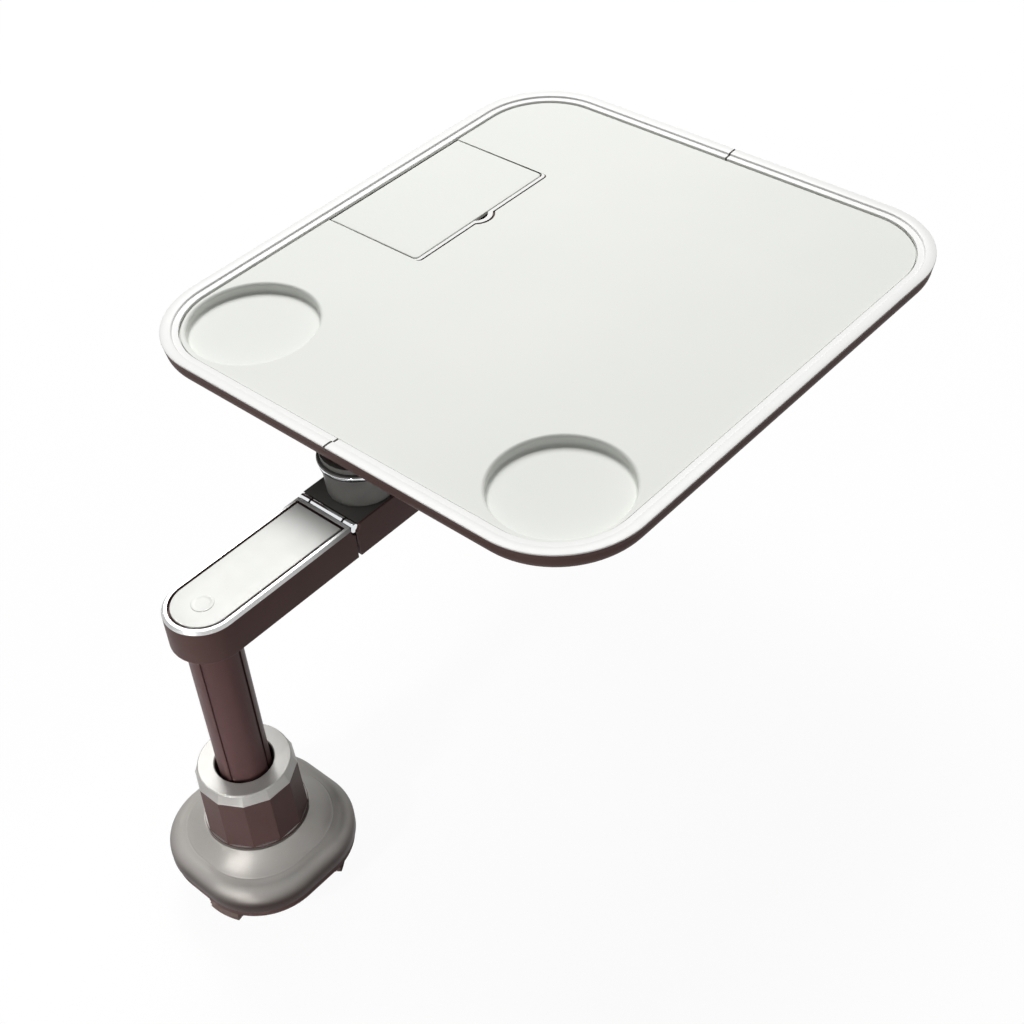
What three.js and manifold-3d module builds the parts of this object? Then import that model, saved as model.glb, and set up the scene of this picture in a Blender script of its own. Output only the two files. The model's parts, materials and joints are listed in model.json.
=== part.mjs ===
// A tray for a car: an expanding plug for the cup holder, a post, a swivelling arm and a folding tray.
// Millimetres, Z up. The origin is the middle of the plug's underside and the arm points along +X.
import * as THREE from 'three';
import { mergeVertices } from 'three/addons/utils/BufferGeometryUtils.js';
import Module from 'manifold-3d';

// Gaps between pieces
const seatGap = 0.3;
const slideGap = 0.4;
const seamGap = 0.6;

// Plug and its legs
const plugRadius = 34;
const footThickness = 3.5;
const footChamfer = 2;
const footScrewPlace = 29;
const legAngles = [190, 70, -50];
const legWidth = 20;
const legHeight = 14;
const legInnerRadius = 23;
const legReach = 43;
const padThickness = 2.5;
const legTravelOut = 3;
const legTravelIn = 5;
const pinRadius = 1.6;
const pinPlace = 25.5;
const deckThickness = 3;

// Scroll that drives the legs
const scrollThickness = 3.5;
const scrollPitch = 18;
const scrollRim = 2;
const scrollScrewLag = 40;

// Flange
const flangeHalf = 47.5;
const flangeCorner = 37;
const flangeHeight = 30.2;
const flangeWall = 2.8;
const skirtHeight = 11;
const skirtTuck = 1.2;
const shoulderWidth = 8;
const shoulderRise = 8.5;
const flangeScrewInset = 16.5;
const flangeBossRadius = 4.2;
const flangeScrewAngles = [45, 135, 225, 315];

// Collar
const collarHeight = 42;
const collarTopRadius = 25;
const collarFootRadius = 28.6;
const collarChamfer = 5;
const collarFootRing = 1.6;
const collarFlats = 12;
const collarGap = 1.8;
const sleeveWall = 4;

// Post
const postRadius = 14.2;
const postWall = 2.3;
const postLength = 178;
const grooveWidth = 1.8;
const grooveDepth = 0.9;
const grooveCount = 4;
const grooveTurn = 22.5;
const insertLength = 16;
const topInsertLength = 24;
const socketWall = 2.6;
const socketFloor = 3;

// Arm
const armHalfWidth = 20.5;
const armHeight = 23;
const armReach = 85;
const armBevel = 1.5;
const armFloor = 3.5;
const armWall = 3;
const armEndLip = 4.4;
const armEndWall = 9;
const ribThickness = 2.5;
const ribShares = [1 / 3, 2 / 3];
const coverThickness = 1.9;
const pivotWasherThickness = 1;
const pivotBossRadius = 11;
const pivotCapRadius = 5.9;
const bushWall = 1.8;
const capStem = 1.9;

// Knuckle hinge between arm and link
const faceGap = 1.2;
const hingeDrop = 2.4;
const knuckleRadius = 2.6;
const hingePinRadius = 1.2;
const middleKnuckle = 23;
const knuckleGap = 1.2;
const foldGap = 0.9;
const hingeMargin = 1;
const leafThickness = 1.6;
const leafHeight = 12;

// Link and swivel
const linkLength = 57;
const linkCorner = 10;
const swivelReach = 25.5;
const coneHeight = 18.5;
const coneFootRadius = 18.8;
const coneTopRadius = 21;
const coneFlare = 6;
const coneWaist = 0.6;
const swivelWasherThickness = 0.8;
const ringHeight = 2.2;
const ringWidth = 4;
const hubThickness = 3;
const hubRadius = 19.5;
const hubLength = 60;
const hubScrewRows = [28, 48];
const hubScrewAcross = 11;
const nutRecess = 11;
const accessCapThickness = 2;

// Tray
const plateLength = 330.4;
const plateWidth = 303.6;
const plateThickness = 2;
const plateMargin = 6;
const cornerRadius = 43;
const swivelInset = 10.7;
const trayDepth = 10.4;
const rimWidth = 10.2;
const rimHeight = 2.8;
const rimSkirt = 0.8;
const rimRebate = 0.2;
const ledgeWidth = 4.4;
const ledgeHeight = 1.2;
const crownStart = 20;
const panInset = 0.8;
const panWall = 2;
const panFloor = 1.6;
const panRound = 3.5;
const panBossHeight = 2.5;
const panScrewMargin = 14;
const bossRadius = 4;
const hubBossRadius = 15.5;

// Cup recesses
const cupRadius = 37.2;
const cupDepth = 6;
const cupFillet = 2;
const cupFloor = 1.6;
const cupFromEnd = 42.1;
const cupFromSide = 40.9;
const dishFlange = 2.8;

// Compartment and its flap
const flapFromEnd = 140.5;
const flapLength = 112;
const flapDepth = 71.4;
const flapThickness = 1.9;
const flapCorner = 3;
const flapEdge = 0.7;
const flapBevel = 1.8;
const flapBevelDepth = 1.1;
const flapLedge = 3;
const compartmentDepth = 6.8;
const notchRadius = 6.5;
const notchAlong = 55.6;
const flapPinRadius = 0.8;
const barrelRadius = 1.7;
const barrelInset = 2.4;

// Fasteners
const smallScrew = { shank: 1, head: 1.6, headHeight: 1.2, length: 7 };
const coverScrew = { shank: 1.5, head: 3, headHeight: 1.8, length: 9 };
const postScrew = { shank: 2.5, head: 4.6, headHeight: 3, length: 13 };
const pivotScrew = { shank: 4, head: 6.6, headHeight: 5, length: 30 };
const trayScrew = { shank: 1.3, head: 3, headHeight: 1.5, length: 6.5 };
const swivelScrew = { shank: 4, head: 7, headHeight: 4 };
const swivelNut = { radius: 7.4, height: 5.5, sides: 6 };
const recessMargin = 0.6;

// Facets
const fineSteps = 40;
const dishSteps = 28;
const roundSteps = 20;
const smallSteps = 8;
const screwSteps = 8;
const cornerSteps = 7;
const bendSteps = 3;
const shoulderSteps = 4;
const scrollSteps = 13;
const crownSteps = 5;

// How far a cutting tool runs past the face it opens, and how close points are welded
const overrun = 1;
const weldDistance = 1e-4;

// Heights that follow from the sizes above
const legBottom = footThickness + slideGap;
const deckBottom = legBottom + legHeight + slideGap;
const deckTop = deckBottom + deckThickness;
const scrollBottom = deckTop + slideGap;
const scrollTop = scrollBottom + scrollThickness;
const flangeTop = deckTop + flangeHeight;
const collarBottom = flangeTop + seatGap;
const collarTop = collarBottom + collarHeight;
const plugBottom = footThickness + seatGap;
const socketBottom = plugBottom + postScrew.headHeight + 2 * seatGap;
const postBottom = socketBottom + socketFloor + seatGap;
const postTop = postBottom + postLength;
const armBottom = postTop + pivotWasherThickness + 2 * seatGap;
const hingeHeight = armHeight - hingeDrop;
const washerBottom = coneHeight + 2 * seatGap;
const ringBottom = washerBottom + swivelWasherThickness + seatGap;
const hubBottom = ringBottom + ringHeight + seatGap;
const panBottom = hubBottom + hubThickness + seatGap;
const collarBore = postRadius + collarGap;
const sleeveRadius = collarBore + sleeveWall;
const scrollRadius = pinPlace + legTravelOut + pinRadius + slideGap + scrollRim;
const plateStart = -swivelInset;
const plateEnd = plateStart + plateLength;
const halfWidth = plateWidth / 2;
const flapStart = plateStart + flapFromEnd;
const flapStop = flapStart + flapLength;
const flapAxis = [halfWidth - barrelInset, -barrelRadius - seatGap];
const tubTop = -plateThickness - seatGap;
const dishRadius = cupRadius + cupFillet;

const wasm = await Module();
wasm.setup();

const materials = {
  pale: new THREE.MeshStandardMaterial({ color: 0xe9ebe5, roughness: 0.55 }),
  white: new THREE.MeshStandardMaterial({ color: 0xf7f7f5, roughness: 0.3 }),
  dark: new THREE.MeshStandardMaterial({ color: 0x5a5250, roughness: 0.5, metalness: 0.3 }),
  anodised: new THREE.MeshStandardMaterial({ color: 0x57504e, roughness: 0.42, metalness: 0.75 }),
  silver: new THREE.MeshStandardMaterial({ color: 0xa2a19c, roughness: 0.38, metalness: 0.7 }),
  lacquer: new THREE.MeshStandardMaterial({ color: 0xe4e5e1, roughness: 0.32, metalness: 0.6 }),
  chrome: new THREE.MeshStandardMaterial({ color: 0xe6e9ec, roughness: 0.12, metalness: 1 }),
  steel: new THREE.MeshStandardMaterial({ color: 0xb4b5b6, roughness: 0.35, metalness: 0.9 }),
  brass: new THREE.MeshStandardMaterial({ color: 0xb79a5a, roughness: 0.35, metalness: 0.9 }),
  nylon: new THREE.MeshStandardMaterial({ color: 0xdcdad2, roughness: 0.6 }),
  rubber: new THREE.MeshStandardMaterial({ color: 0x3b3735, roughness: 0.9 }),
};

const turns = (degrees) => THREE.MathUtils.degToRad(degrees);

// A closed three.js geometry as a solid that can be cut and joined
function solid(geometry) {
  geometry.deleteAttribute('normal');
  geometry.deleteAttribute('uv');
  const welded = mergeVertices(geometry, weldDistance);
  const corners = [];
  for (let i = 0; i < welded.index.count; i += 3) {
    const [a, b, c] = [0, 1, 2].map((k) => welded.index.getX(i + k));
    if (a !== b && b !== c && c !== a) corners.push(a, b, c);
  }
  const vertProperties = new Float32Array(welded.attributes.position.array);
  const triVerts = new Uint32Array(corners);
  return new wasm.Manifold(new wasm.Mesh({ numProp: 3, vertProperties, triVerts }));
}

function join(pieces) {
  return pieces.reduce((whole, piece) => whole.add(piece));
}

function cut(body, tools) {
  return tools.reduce((left, tool) => left.subtract(tool), body);
}

// The faces of a solid as a three.js geometry again
function faces(body) {
  const result = body.getMesh();
  const geometry = new THREE.BufferGeometry();
  const positions = new THREE.BufferAttribute(new Float32Array(result.vertProperties), 3);
  geometry.setAttribute('position', positions);
  geometry.setIndex(new THREE.BufferAttribute(new Uint32Array(result.triVerts), 1));
  return geometry;
}

// A copy of a solid, turned about Z and then moved
function moved(body, degrees, x = 0, y = 0, z = 0) {
  return solid(faces(body).rotateZ(turns(degrees)).translate(x, y, z));
}

// A finished node: the solid becomes a named mesh inside its group, with a material of its own
function place(group, name, body, material) {
  const geometry = faces(body);
  geometry.computeVertexNormals();
  const mesh = new THREE.Mesh(geometry, material.clone());
  mesh.name = name;
  group.add(mesh);
}

// Alike pieces: each one is a node of its own, numbered from 1
function placeEach(group, name, bodies, material) {
  bodies.forEach((body, i) => place(group, `${name}_${i + 1}`, body, material));
}

function box(x0, x1, y0, y1, z0, z1) {
  const geometry = new THREE.BoxGeometry(x1 - x0, y1 - y0, z1 - z0);
  return solid(geometry.translate((x0 + x1) / 2, (y0 + y1) / 2, (z0 + z1) / 2));
}

// An upright cylinder at x, y
function rod(radius, z0, z1, x = 0, y = 0, steps = roundSteps) {
  const geometry = new THREE.CylinderGeometry(radius, radius, z1 - z0, steps).rotateX(Math.PI / 2);
  return solid(geometry.translate(x, y, (z0 + z1) / 2));
}

// A cylinder that lies along Y through x, z
function crossRod(radius, y0, y1, x, z, steps = smallSteps) {
  const geometry = new THREE.CylinderGeometry(radius, radius, y1 - y0, steps);
  return solid(geometry.translate(x, (y0 + y1) / 2, z));
}

// A cylinder that lies along X through y, z
function lengthRod(radius, x0, x1, y, z, steps = smallSteps) {
  const geometry = new THREE.CylinderGeometry(radius, radius, x1 - x0, steps).rotateZ(Math.PI / 2);
  return solid(geometry.translate((x0 + x1) / 2, y, z));
}

// A turned piece: profile points are [radius, height], counter-clockwise
function turned(profile, x = 0, y = 0, steps = roundSteps) {
  const points = profile.map(([radius, height]) => new THREE.Vector2(radius, height));
  points.push(points[0].clone());
  const geometry = new THREE.LatheGeometry(points, steps).rotateX(Math.PI / 2);
  return solid(geometry.translate(x, y, 0));
}

function ringOf(outer, inner, z0, z1, x = 0, y = 0, steps = roundSteps) {
  return turned([[inner, z0], [outer, z0], [outer, z1], [inner, z1]], x, y, steps);
}

function prism(shape, z0, z1) {
  const settings = { depth: z1 - z0, bevelEnabled: false, curveSegments: cornerSteps };
  return solid(new THREE.ExtrudeGeometry(shape, settings).translate(0, 0, z0));
}

function skinned(rings, index) {
  const geometry = new THREE.BufferGeometry();
  geometry.setAttribute('position', new THREE.Float32BufferAttribute(rings.flat(2), 3));
  geometry.setIndex(index);
  return solid(geometry);
}

// The faces between one ring and the next, both counter-clockwise
function between(lower, upper, count) {
  const strip = [];
  for (let i = 0; i < count; i += 1) {
    const next = (i + 1) % count;
    const [a, b, c, d] = [lower + i, lower + next, upper + next, upper + i];
    strip.push(a, b, c, a, c, d);
  }
  return strip;
}

// A skin through rings of points from the lowest to the highest, closed at both ends
function loft(rings) {
  const count = rings[0].length;
  const last = (rings.length - 1) * count;
  const outline = (ring) => ring.map(([x, y]) => new THREE.Vector2(x, y));
  const index = rings.slice(1).flatMap((_, r) => between(r * count, (r + 1) * count, count));
  for (const [a, b, c] of THREE.ShapeUtils.triangulateShape(outline(rings[0]), [])) index.push(a, c, b);
  for (const [a, b, c] of THREE.ShapeUtils.triangulateShape(outline(rings[rings.length - 1]), [])) {
    index.push(last + a, last + b, last + c);
  }
  return skinned(rings, index);
}

// A hoop: rings of points joined end to end, as for a rim that closes on itself
function hoop(rings) {
  const count = rings[0].length;
  const index = rings.flatMap((_, r) => between(r * count, ((r + 1) % rings.length) * count, count));
  return skinned(rings, index);
}

// Evenly spaced values from one to another, both included
function sweep(from, to, steps) {
  return Array.from({ length: steps + 1 }, (_, i) => THREE.MathUtils.lerp(from, to, i / steps));
}

// One corner's arc about x, y, from one angle to another
function arc(x, y, radius, from, to, z, steps = cornerSteps) {
  return sweep(turns(from), turns(to), steps).map((angle) => [
    x + radius * Math.cos(angle), y + radius * Math.sin(angle), z,
  ]);
}

function roundedRing(x0, x1, y0, y1, radius, z, steps = cornerSteps) {
  return [
    ...arc(x1 - radius, y0 + radius, radius, -90, 0, z, steps),
    ...arc(x1 - radius, y1 - radius, radius, 0, 90, z, steps),
    ...arc(x0 + radius, y1 - radius, radius, 90, 180, z, steps),
    ...arc(x0 + radius, y0 + radius, radius, 180, 270, z, steps),
  ];
}

// A pan-head screw with its head at z and its shank along +Z or -Z
function screw({ shank, head, headHeight, length }, x, y, z, way) {
  const headSolid = way > 0 ? [z - headHeight, z] : [z, z + headHeight];
  const shankSolid = way > 0 ? [z - headHeight / 2, z + length] : [z - length, z + headHeight / 2];
  return rod(head, ...headSolid, x, y, screwSteps).add(rod(shank, ...shankSolid, x, y, screwSteps));
}

const polar = (radius, degrees) => [radius * Math.cos(turns(degrees)), radius * Math.sin(turns(degrees))];

const whole = new THREE.Group();
const arm = new THREE.Group();
const link = new THREE.Group();
const tray = new THREE.Group();
const flap = new THREE.Group();
arm.position.z = armBottom;
link.position.set(armReach, 0, hingeHeight);
tray.position.set(swivelReach, 0, hingeDrop + panBottom + trayDepth);
flap.position.set(flapStart, ...flapAxis);
whole.add(arm);
arm.add(link);
link.add(tray);
tray.add(flap);

// Foot plate: the bottom cover of the plug, screwed into the lands between the legs
const footScrewAngles = legAngles.map((angle) => angle + 180 / legAngles.length);

function makeFootPlate() {
  const plate = turned([
    [0, 0], [plugRadius - footChamfer, 0], [plugRadius, footChamfer],
    [plugRadius, footThickness], [0, footThickness],
  ]);
  const holes = [];
  const screws = [];
  for (const angle of footScrewAngles) {
    const [x, y] = polar(footScrewPlace, angle);
    const seat = coverScrew.headHeight + seatGap;
    holes.push(rod(coverScrew.head + seatGap, -overrun, seat, x, y, smallSteps));
    holes.push(rod(coverScrew.shank + seatGap, -overrun, footThickness + overrun, x, y, smallSteps));
    screws.push(screw(coverScrew, x, y, coverScrew.headHeight, 1));
  }
  place(whole, 'foot_plate', cut(plate, holes), materials.dark);
  placeEach(whole, 'foot_screw', screws, materials.steel);
}

// A rounded square whose corners grow into a full circle near the collar
function flangeRing(inset, z, hub) {
  const half = flangeHalf - inset;
  const share = THREE.MathUtils.clamp(inset / (flangeHalf - hub), 0, 1);
  const radius = Math.min(half, THREE.MathUtils.lerp(flangeCorner, hub, share));
  return roundedRing(-half, half, -half, half, radius, z);
}

const flangeScrewReach = (flangeHalf - flangeScrewInset) * Math.SQRT2;
const flangeScrewPlaces = flangeScrewAngles.map((angle) => polar(flangeScrewReach, angle));

// Plug body: leg channels open to the foot, post socket, scroll pocket and the floor of the flange
function makePlugBody() {
  const floorInset = flangeWall + slideGap;
  const body = join([
    rod(plugRadius, plugBottom, deckTop + seatGap, 0, 0, fineSteps),
    loft([flangeRing(floorInset, deckTop, plugRadius), flangeRing(floorInset, scrollTop, plugRadius)]),
  ]);
  const socketRadius = postRadius + seatGap + socketWall;
  const tools = [
    rod(postRadius + seatGap, postBottom - seatGap, scrollTop + overrun),
    rod(postScrew.shank + seatGap, plugBottom - overrun, postBottom, 0, 0, smallSteps),
    rod(postScrew.head + recessMargin, plugBottom - overrun, socketBottom, 0, 0, smallSteps),
    rod(scrollRadius + slideGap, deckTop, scrollTop + overrun, 0, 0, fineSteps),
  ];
  const halfChannel = legWidth / 2 + slideGap;
  const slotHalf = pinRadius + slideGap;
  for (const angle of legAngles) {
    const opening = [plugBottom - overrun, deckBottom];
    const channel = box(0, plugRadius + overrun, -halfChannel, halfChannel, ...opening)
      .subtract(rod(socketRadius, 0, deckTop));
    const [low, high] = [deckBottom - overrun, deckTop + overrun];
    const ends = [pinPlace - legTravelIn, pinPlace + legTravelOut];
    const slot = join([
      box(...ends, -slotHalf, slotHalf, low, high),
      ...ends.map((x) => rod(slotHalf, low, high, x, 0, smallSteps)),
    ]);
    tools.push(moved(channel.add(slot), angle));
  }
  for (const angle of footScrewAngles) {
    const [x, y] = polar(footScrewPlace, angle);
    const depth = coverScrew.headHeight + coverScrew.length + seatGap;
    tools.push(rod(coverScrew.shank + seatGap, plugBottom - overrun, depth, x, y, smallSteps));
  }
  for (const [x, y] of flangeScrewPlaces) {
    const seat = deckTop + coverScrew.headHeight + seatGap;
    tools.push(rod(coverScrew.head + seatGap, deckTop - overrun, seat, x, y, smallSteps));
    tools.push(rod(coverScrew.shank + seatGap, deckTop - overrun, scrollTop + overrun, x, y, smallSteps));
  }
  place(whole, 'plug_body', cut(body, tools), materials.dark);
}

// Legs: blocks that slide in the channels, each with a drive pin and a rubber pad on its curved end
function makeLegs() {
  const blockReach = legReach - padThickness - seatGap;
  const half = legWidth / 2;
  legAngles.forEach((angle, i) => {
    const leg = new THREE.Group();
    leg.rotation.z = turns(angle);
    whole.add(leg);
    const blank = box(legInnerRadius, legReach + overrun, -half, half, legBottom, legBottom + legHeight);
    const pin = rod(pinRadius, legBottom + legHeight / 2, scrollTop - seatGap, pinPlace, 0, smallSteps);
    const block = blank.intersect(rod(blockReach, 0, deckTop, 0, 0, fineSteps)).add(pin);
    const pad = blank.intersect(ringOf(legReach, blockReach + seatGap, 0, deckTop, 0, 0, fineSteps));
    place(leg, `leg_${i + 1}`, block, materials.dark);
    place(leg, `leg_pad_${i + 1}`, pad, materials.rubber);
  });
}

// Flange: a soft-shouldered cap that rises in a hollow curve to the foot of the collar
function makeBaseCap() {
  const hub = collarFootRadius + seamGap;
  const neckStart = skirtHeight + shoulderRise;
  const outer = [flangeRing(skirtTuck, deckTop, hub), flangeRing(0, deckTop + skirtTuck, hub)];
  for (const angle of sweep(0, Math.PI / 2, shoulderSteps)) {
    const inset = shoulderWidth * (1 - Math.cos(angle));
    outer.push(flangeRing(inset, deckTop + skirtHeight + shoulderRise * Math.sin(angle), hub));
  }
  const neckWidth = flangeHalf - shoulderWidth - hub;
  for (const share of sweep(0, 1, shoulderSteps).slice(1)) {
    const rise = (flangeHeight - neckStart) * share ** 2;
    outer.push(flangeRing(shoulderWidth + neckWidth * share, deckTop + neckStart + rise, hub));
  }
  const shell = loft(outer);
  const hollowTop = deckTop + flangeHeight - flangeWall;
  const hollowHub = hub - flangeWall;
  const hollow = loft([
    flangeRing(flangeWall, deckTop - overrun, hub),
    flangeRing(flangeWall, deckTop + skirtHeight, hub),
    flangeRing(flangeWall + shoulderWidth / 2, deckTop + neckStart - flangeWall, hub),
    flangeRing(flangeHalf - hub + flangeWall, deckTop + neckStart - flangeWall, hub),
    flangeRing(flangeHalf - hollowHub + flangeWall, hollowTop, hub),
  ]);
  const bossBottom = scrollTop + seatGap;
  const boss = ([x, y]) => rod(flangeBossRadius, bossBottom, hollowTop, x, y, smallSteps);
  const pilots = flangeScrewPlaces.map(([x, y]) => {
    const depth = deckTop + coverScrew.headHeight + coverScrew.length + seatGap;
    return rod(coverScrew.shank + seatGap, bossBottom - overrun, depth, x, y, smallSteps);
  });
  const cap = shell.subtract(hollow).add(join(flangeScrewPlaces.map(boss)).intersect(shell));
  const bore = rod(sleeveRadius + slideGap, deckTop, flangeTop + overrun);
  const headTop = deckTop + coverScrew.headHeight;
  const screws = flangeScrewPlaces.map(([x, y]) => screw(coverScrew, x, y, headTop, 1));
  place(whole, 'base_cap', cut(cap, [...pilots, bore]), materials.silver);
  placeEach(whole, 'cap_screw', screws, materials.steel);
}

const scrollScrewReach = collarBore + sleeveWall / 2;
const scrollScrewPlaces = legAngles.map((angle) => polar(scrollScrewReach, angle - scrollScrewLag));

// Collar: a turned grip with flats between a round foot and a bright chamfered top, on a long sleeve
function makeCollar() {
  const flatRadius = (radius) => radius / Math.cos(Math.PI / collarFlats);
  const flatsBottom = collarBottom + collarFootRing;
  const grip = turned([
    [0, collarBottom], [collarFootRadius, collarBottom], [collarFootRadius, flatsBottom],
    [collarTopRadius + collarChamfer / 2, collarTop - collarChamfer],
    [collarTopRadius, collarTop], [0, collarTop],
  ], 0, 0, fineSteps);
  const topFlat = flatRadius(collarTopRadius + collarChamfer / 2 - seamGap);
  const footFlat = flatRadius(collarFootRadius - 2 * seamGap);
  const flats = new THREE.CylinderGeometry(topFlat, footFlat, collarHeight, collarFlats);
  const gripFlats = solid(flats.rotateX(Math.PI / 2).translate(0, 0, flatsBottom + collarHeight / 2));
  const foot = rod(collarFootRadius, collarBottom, flatsBottom, 0, 0, fineSteps);
  const sleeve = rod(sleeveRadius, scrollTop + seatGap, collarTop - collarChamfer);
  const body = grip.intersect(gripFlats.add(foot)).add(sleeve);
  const tools = [rod(collarBore, 0, collarTop + overrun)];
  for (const [x, y] of scrollScrewPlaces) {
    const depth = scrollBottom + smallScrew.headHeight + smallScrew.length + seatGap;
    tools.push(rod(smallScrew.shank + seatGap, scrollTop, depth, x, y, smallSteps));
  }
  place(whole, 'collar', cut(body, tools), materials.silver);
}

// Scroll: each spiral slot holds one leg's pin, so a turn of the collar moves all the legs alike
function makeScroll() {
  const turnIn = 360 * legTravelIn / scrollPitch;
  const turnOut = 360 * legTravelOut / scrollPitch;
  const slotHalf = pinRadius + slideGap;
  const spiral = (offset, share) => {
    const angle = THREE.MathUtils.lerp(-turnIn, turnOut, share);
    const [x, y] = polar(pinPlace + scrollPitch * angle / 360 + offset, angle);
    return new THREE.Vector2(x, y);
  };
  const shares = sweep(0, 1, scrollSteps);
  const outline = [
    ...shares.map((share) => spiral(slotHalf, share)),
    ...shares.map((share) => spiral(-slotHalf, 1 - share)),
  ];
  const [z0, z1] = [scrollBottom - overrun, scrollTop + overrun];
  const round = ({ x, y }) => rod(slotHalf, z0, z1, x, y, smallSteps);
  const ends = [0, 1].map((share) => round(spiral(0, share)));
  const slot = join([prism(new THREE.Shape(outline), z0, z1), ...ends]);
  const tools = legAngles.map((angle) => moved(slot, angle));
  const screws = [];
  for (const [x, y] of scrollScrewPlaces) {
    const headDepth = scrollBottom + smallScrew.headHeight + seatGap;
    tools.push(rod(smallScrew.head + seatGap, z0, headDepth, x, y, smallSteps));
    tools.push(rod(smallScrew.shank + seatGap, z0, z1, x, y, smallSteps));
    screws.push(screw(smallScrew, x, y, scrollBottom + smallScrew.headHeight, 1));
  }
  const disc = ringOf(scrollRadius, collarBore, scrollBottom, scrollTop, 0, 0, fineSteps);
  place(whole, 'scroll_plate', cut(disc, tools), materials.steel);
  placeEach(whole, 'scroll_screw', screws, materials.steel);
}

// Post: a drawn tube with long grooves, closed at each end by a threaded insert
function makePost() {
  const half = grooveWidth / 2;
  const blade = box(postRadius - grooveDepth, postRadius + overrun, -half, half, 0, postTop + overrun);
  const grooves = sweep(0, 360, grooveCount).slice(1).map((angle) => moved(blade, grooveTurn + angle));
  const boreRadius = postRadius - postWall;
  const tube = ringOf(postRadius, boreRadius, postBottom, postTop, 0, 0, fineSteps);
  place(whole, 'post_tube', cut(tube, grooves), materials.anodised);
  const plugIn = boreRadius - seatGap;
  const footHole = postScrew.shank + seatGap;
  const footDepth = socketBottom + postScrew.length + seatGap;
  const footInsert = rod(plugIn, postBottom, postBottom + insertLength)
    .subtract(rod(footHole, postBottom - overrun, footDepth, 0, 0, smallSteps));
  place(whole, 'post_foot_insert', footInsert, materials.steel);
  place(whole, 'post_bolt', screw(postScrew, 0, 0, socketBottom - seatGap, 1), materials.steel);
  const topHole = pivotScrew.shank + seatGap;
  const topInsert = ringOf(plugIn, topHole, postTop - topInsertLength, postTop);
  place(whole, 'post_top_insert', topInsert, materials.steel);
}

const armEnd = armReach - faceGap / 2;

// The arm's outline, set in by a margin: round about the post and square at its end
function armRing(inset, z, end = armEnd - inset) {
  const half = armHalfWidth - inset;
  return [[end, -half, z], [end, half, z], ...arc(0, 0, half, 90, 270, z, 2 * cornerSteps)];
}

function armPrism(inset, end, z0, z1) {
  return loft([armRing(inset, z0, end), armRing(inset, z1, end)]);
}

const coverSeat = armHeight - coverThickness - seatGap;
const bushRadius = pivotScrew.shank + seatGap + bushWall;
const halfMiddle = middleKnuckle / 2;
const hingeHalf = armHalfWidth - hingeMargin;
const barrelHalf = armHalfWidth - seatGap;

// Arm casting: a tub with a pivot boss, ribs and a hinge end, under an inset cover
function makeArm() {
  const outer = loft([
    armRing(armBevel, 0), armRing(0, armBevel),
    armRing(0, armHeight - armBevel), armRing(armBevel, armHeight),
  ]);
  const hollow = armPrism(armWall + ribThickness, armEnd - armEndWall, armFloor, coverSeat + overrun);
  const ribs = [
    box(0, armEnd, -ribThickness / 2, ribThickness / 2, armFloor, coverSeat - seatGap),
    ...ribShares.map((share) => {
      const x = THREE.MathUtils.lerp(pivotBossRadius, armEnd - armEndWall, share);
      return box(x, x + ribThickness, -armHalfWidth, armHalfWidth, armFloor, coverSeat / 2);
    }),
    rod(pivotBossRadius, 0, coverSeat - seatGap),
  ];
  const tub = outer.subtract(hollow).add(join(ribs).intersect(outer));
  const stemBottom = coverSeat - capStem;
  const headSeat = stemBottom - 2 * seatGap - pivotScrew.headHeight;
  const bushLength = headSeat - seatGap;
  const leafDepth = armEnd - leafThickness - seatGap;
  const leafHalf = halfMiddle + seatGap;
  const leafLow = hingeHeight - leafHeight - seatGap;
  const across = armHalfWidth + overrun;
  const tools = [
    armPrism(armWall, armEnd - armEndLip + seatGap, coverSeat, armHeight + overrun),
    rod(bushRadius + seatGap, -overrun, armHeight),
    rod(pivotScrew.head + recessMargin, bushLength, armHeight),
    crossRod(knuckleRadius + foldGap, -across, across, armReach, hingeHeight, roundSteps),
    box(leafDepth, armEnd + overrun, -leafHalf, leafHalf, leafLow, hingeHeight),
  ];
  place(arm, 'arm_housing', cut(tub, tools), materials.anodised);

  const coverEnd = armEnd - armEndLip;
  const cover = armPrism(armWall + seamGap, coverEnd - seamGap, armHeight - coverThickness, armHeight)
    .subtract(rod(pivotCapRadius + seatGap, 0, armHeight + overrun));
  place(arm, 'arm_cover', cover, materials.lacquer);
  const cap = turned([
    [0, stemBottom], [pivotCapRadius / 2, stemBottom], [pivotCapRadius / 2, coverSeat],
    [pivotCapRadius, coverSeat], [pivotCapRadius, armHeight],
    [pivotCapRadius - seamGap, armHeight + seatGap], [0, armHeight + seatGap],
  ]);
  place(arm, 'pivot_cap', cap, materials.lacquer);

  const bush = ringOf(bushRadius, pivotScrew.shank + seatGap, seatGap, bushLength);
  place(arm, 'pivot_bush', bush, materials.brass);
  place(arm, 'pivot_bolt', screw(pivotScrew, 0, 0, headSeat + seatGap, -1), materials.steel);
  const pad = ringOf(postRadius - seamGap, bushRadius, -pivotWasherThickness - seatGap, -seatGap);
  place(arm, 'pivot_washer', pad, materials.nylon);
}

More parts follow.
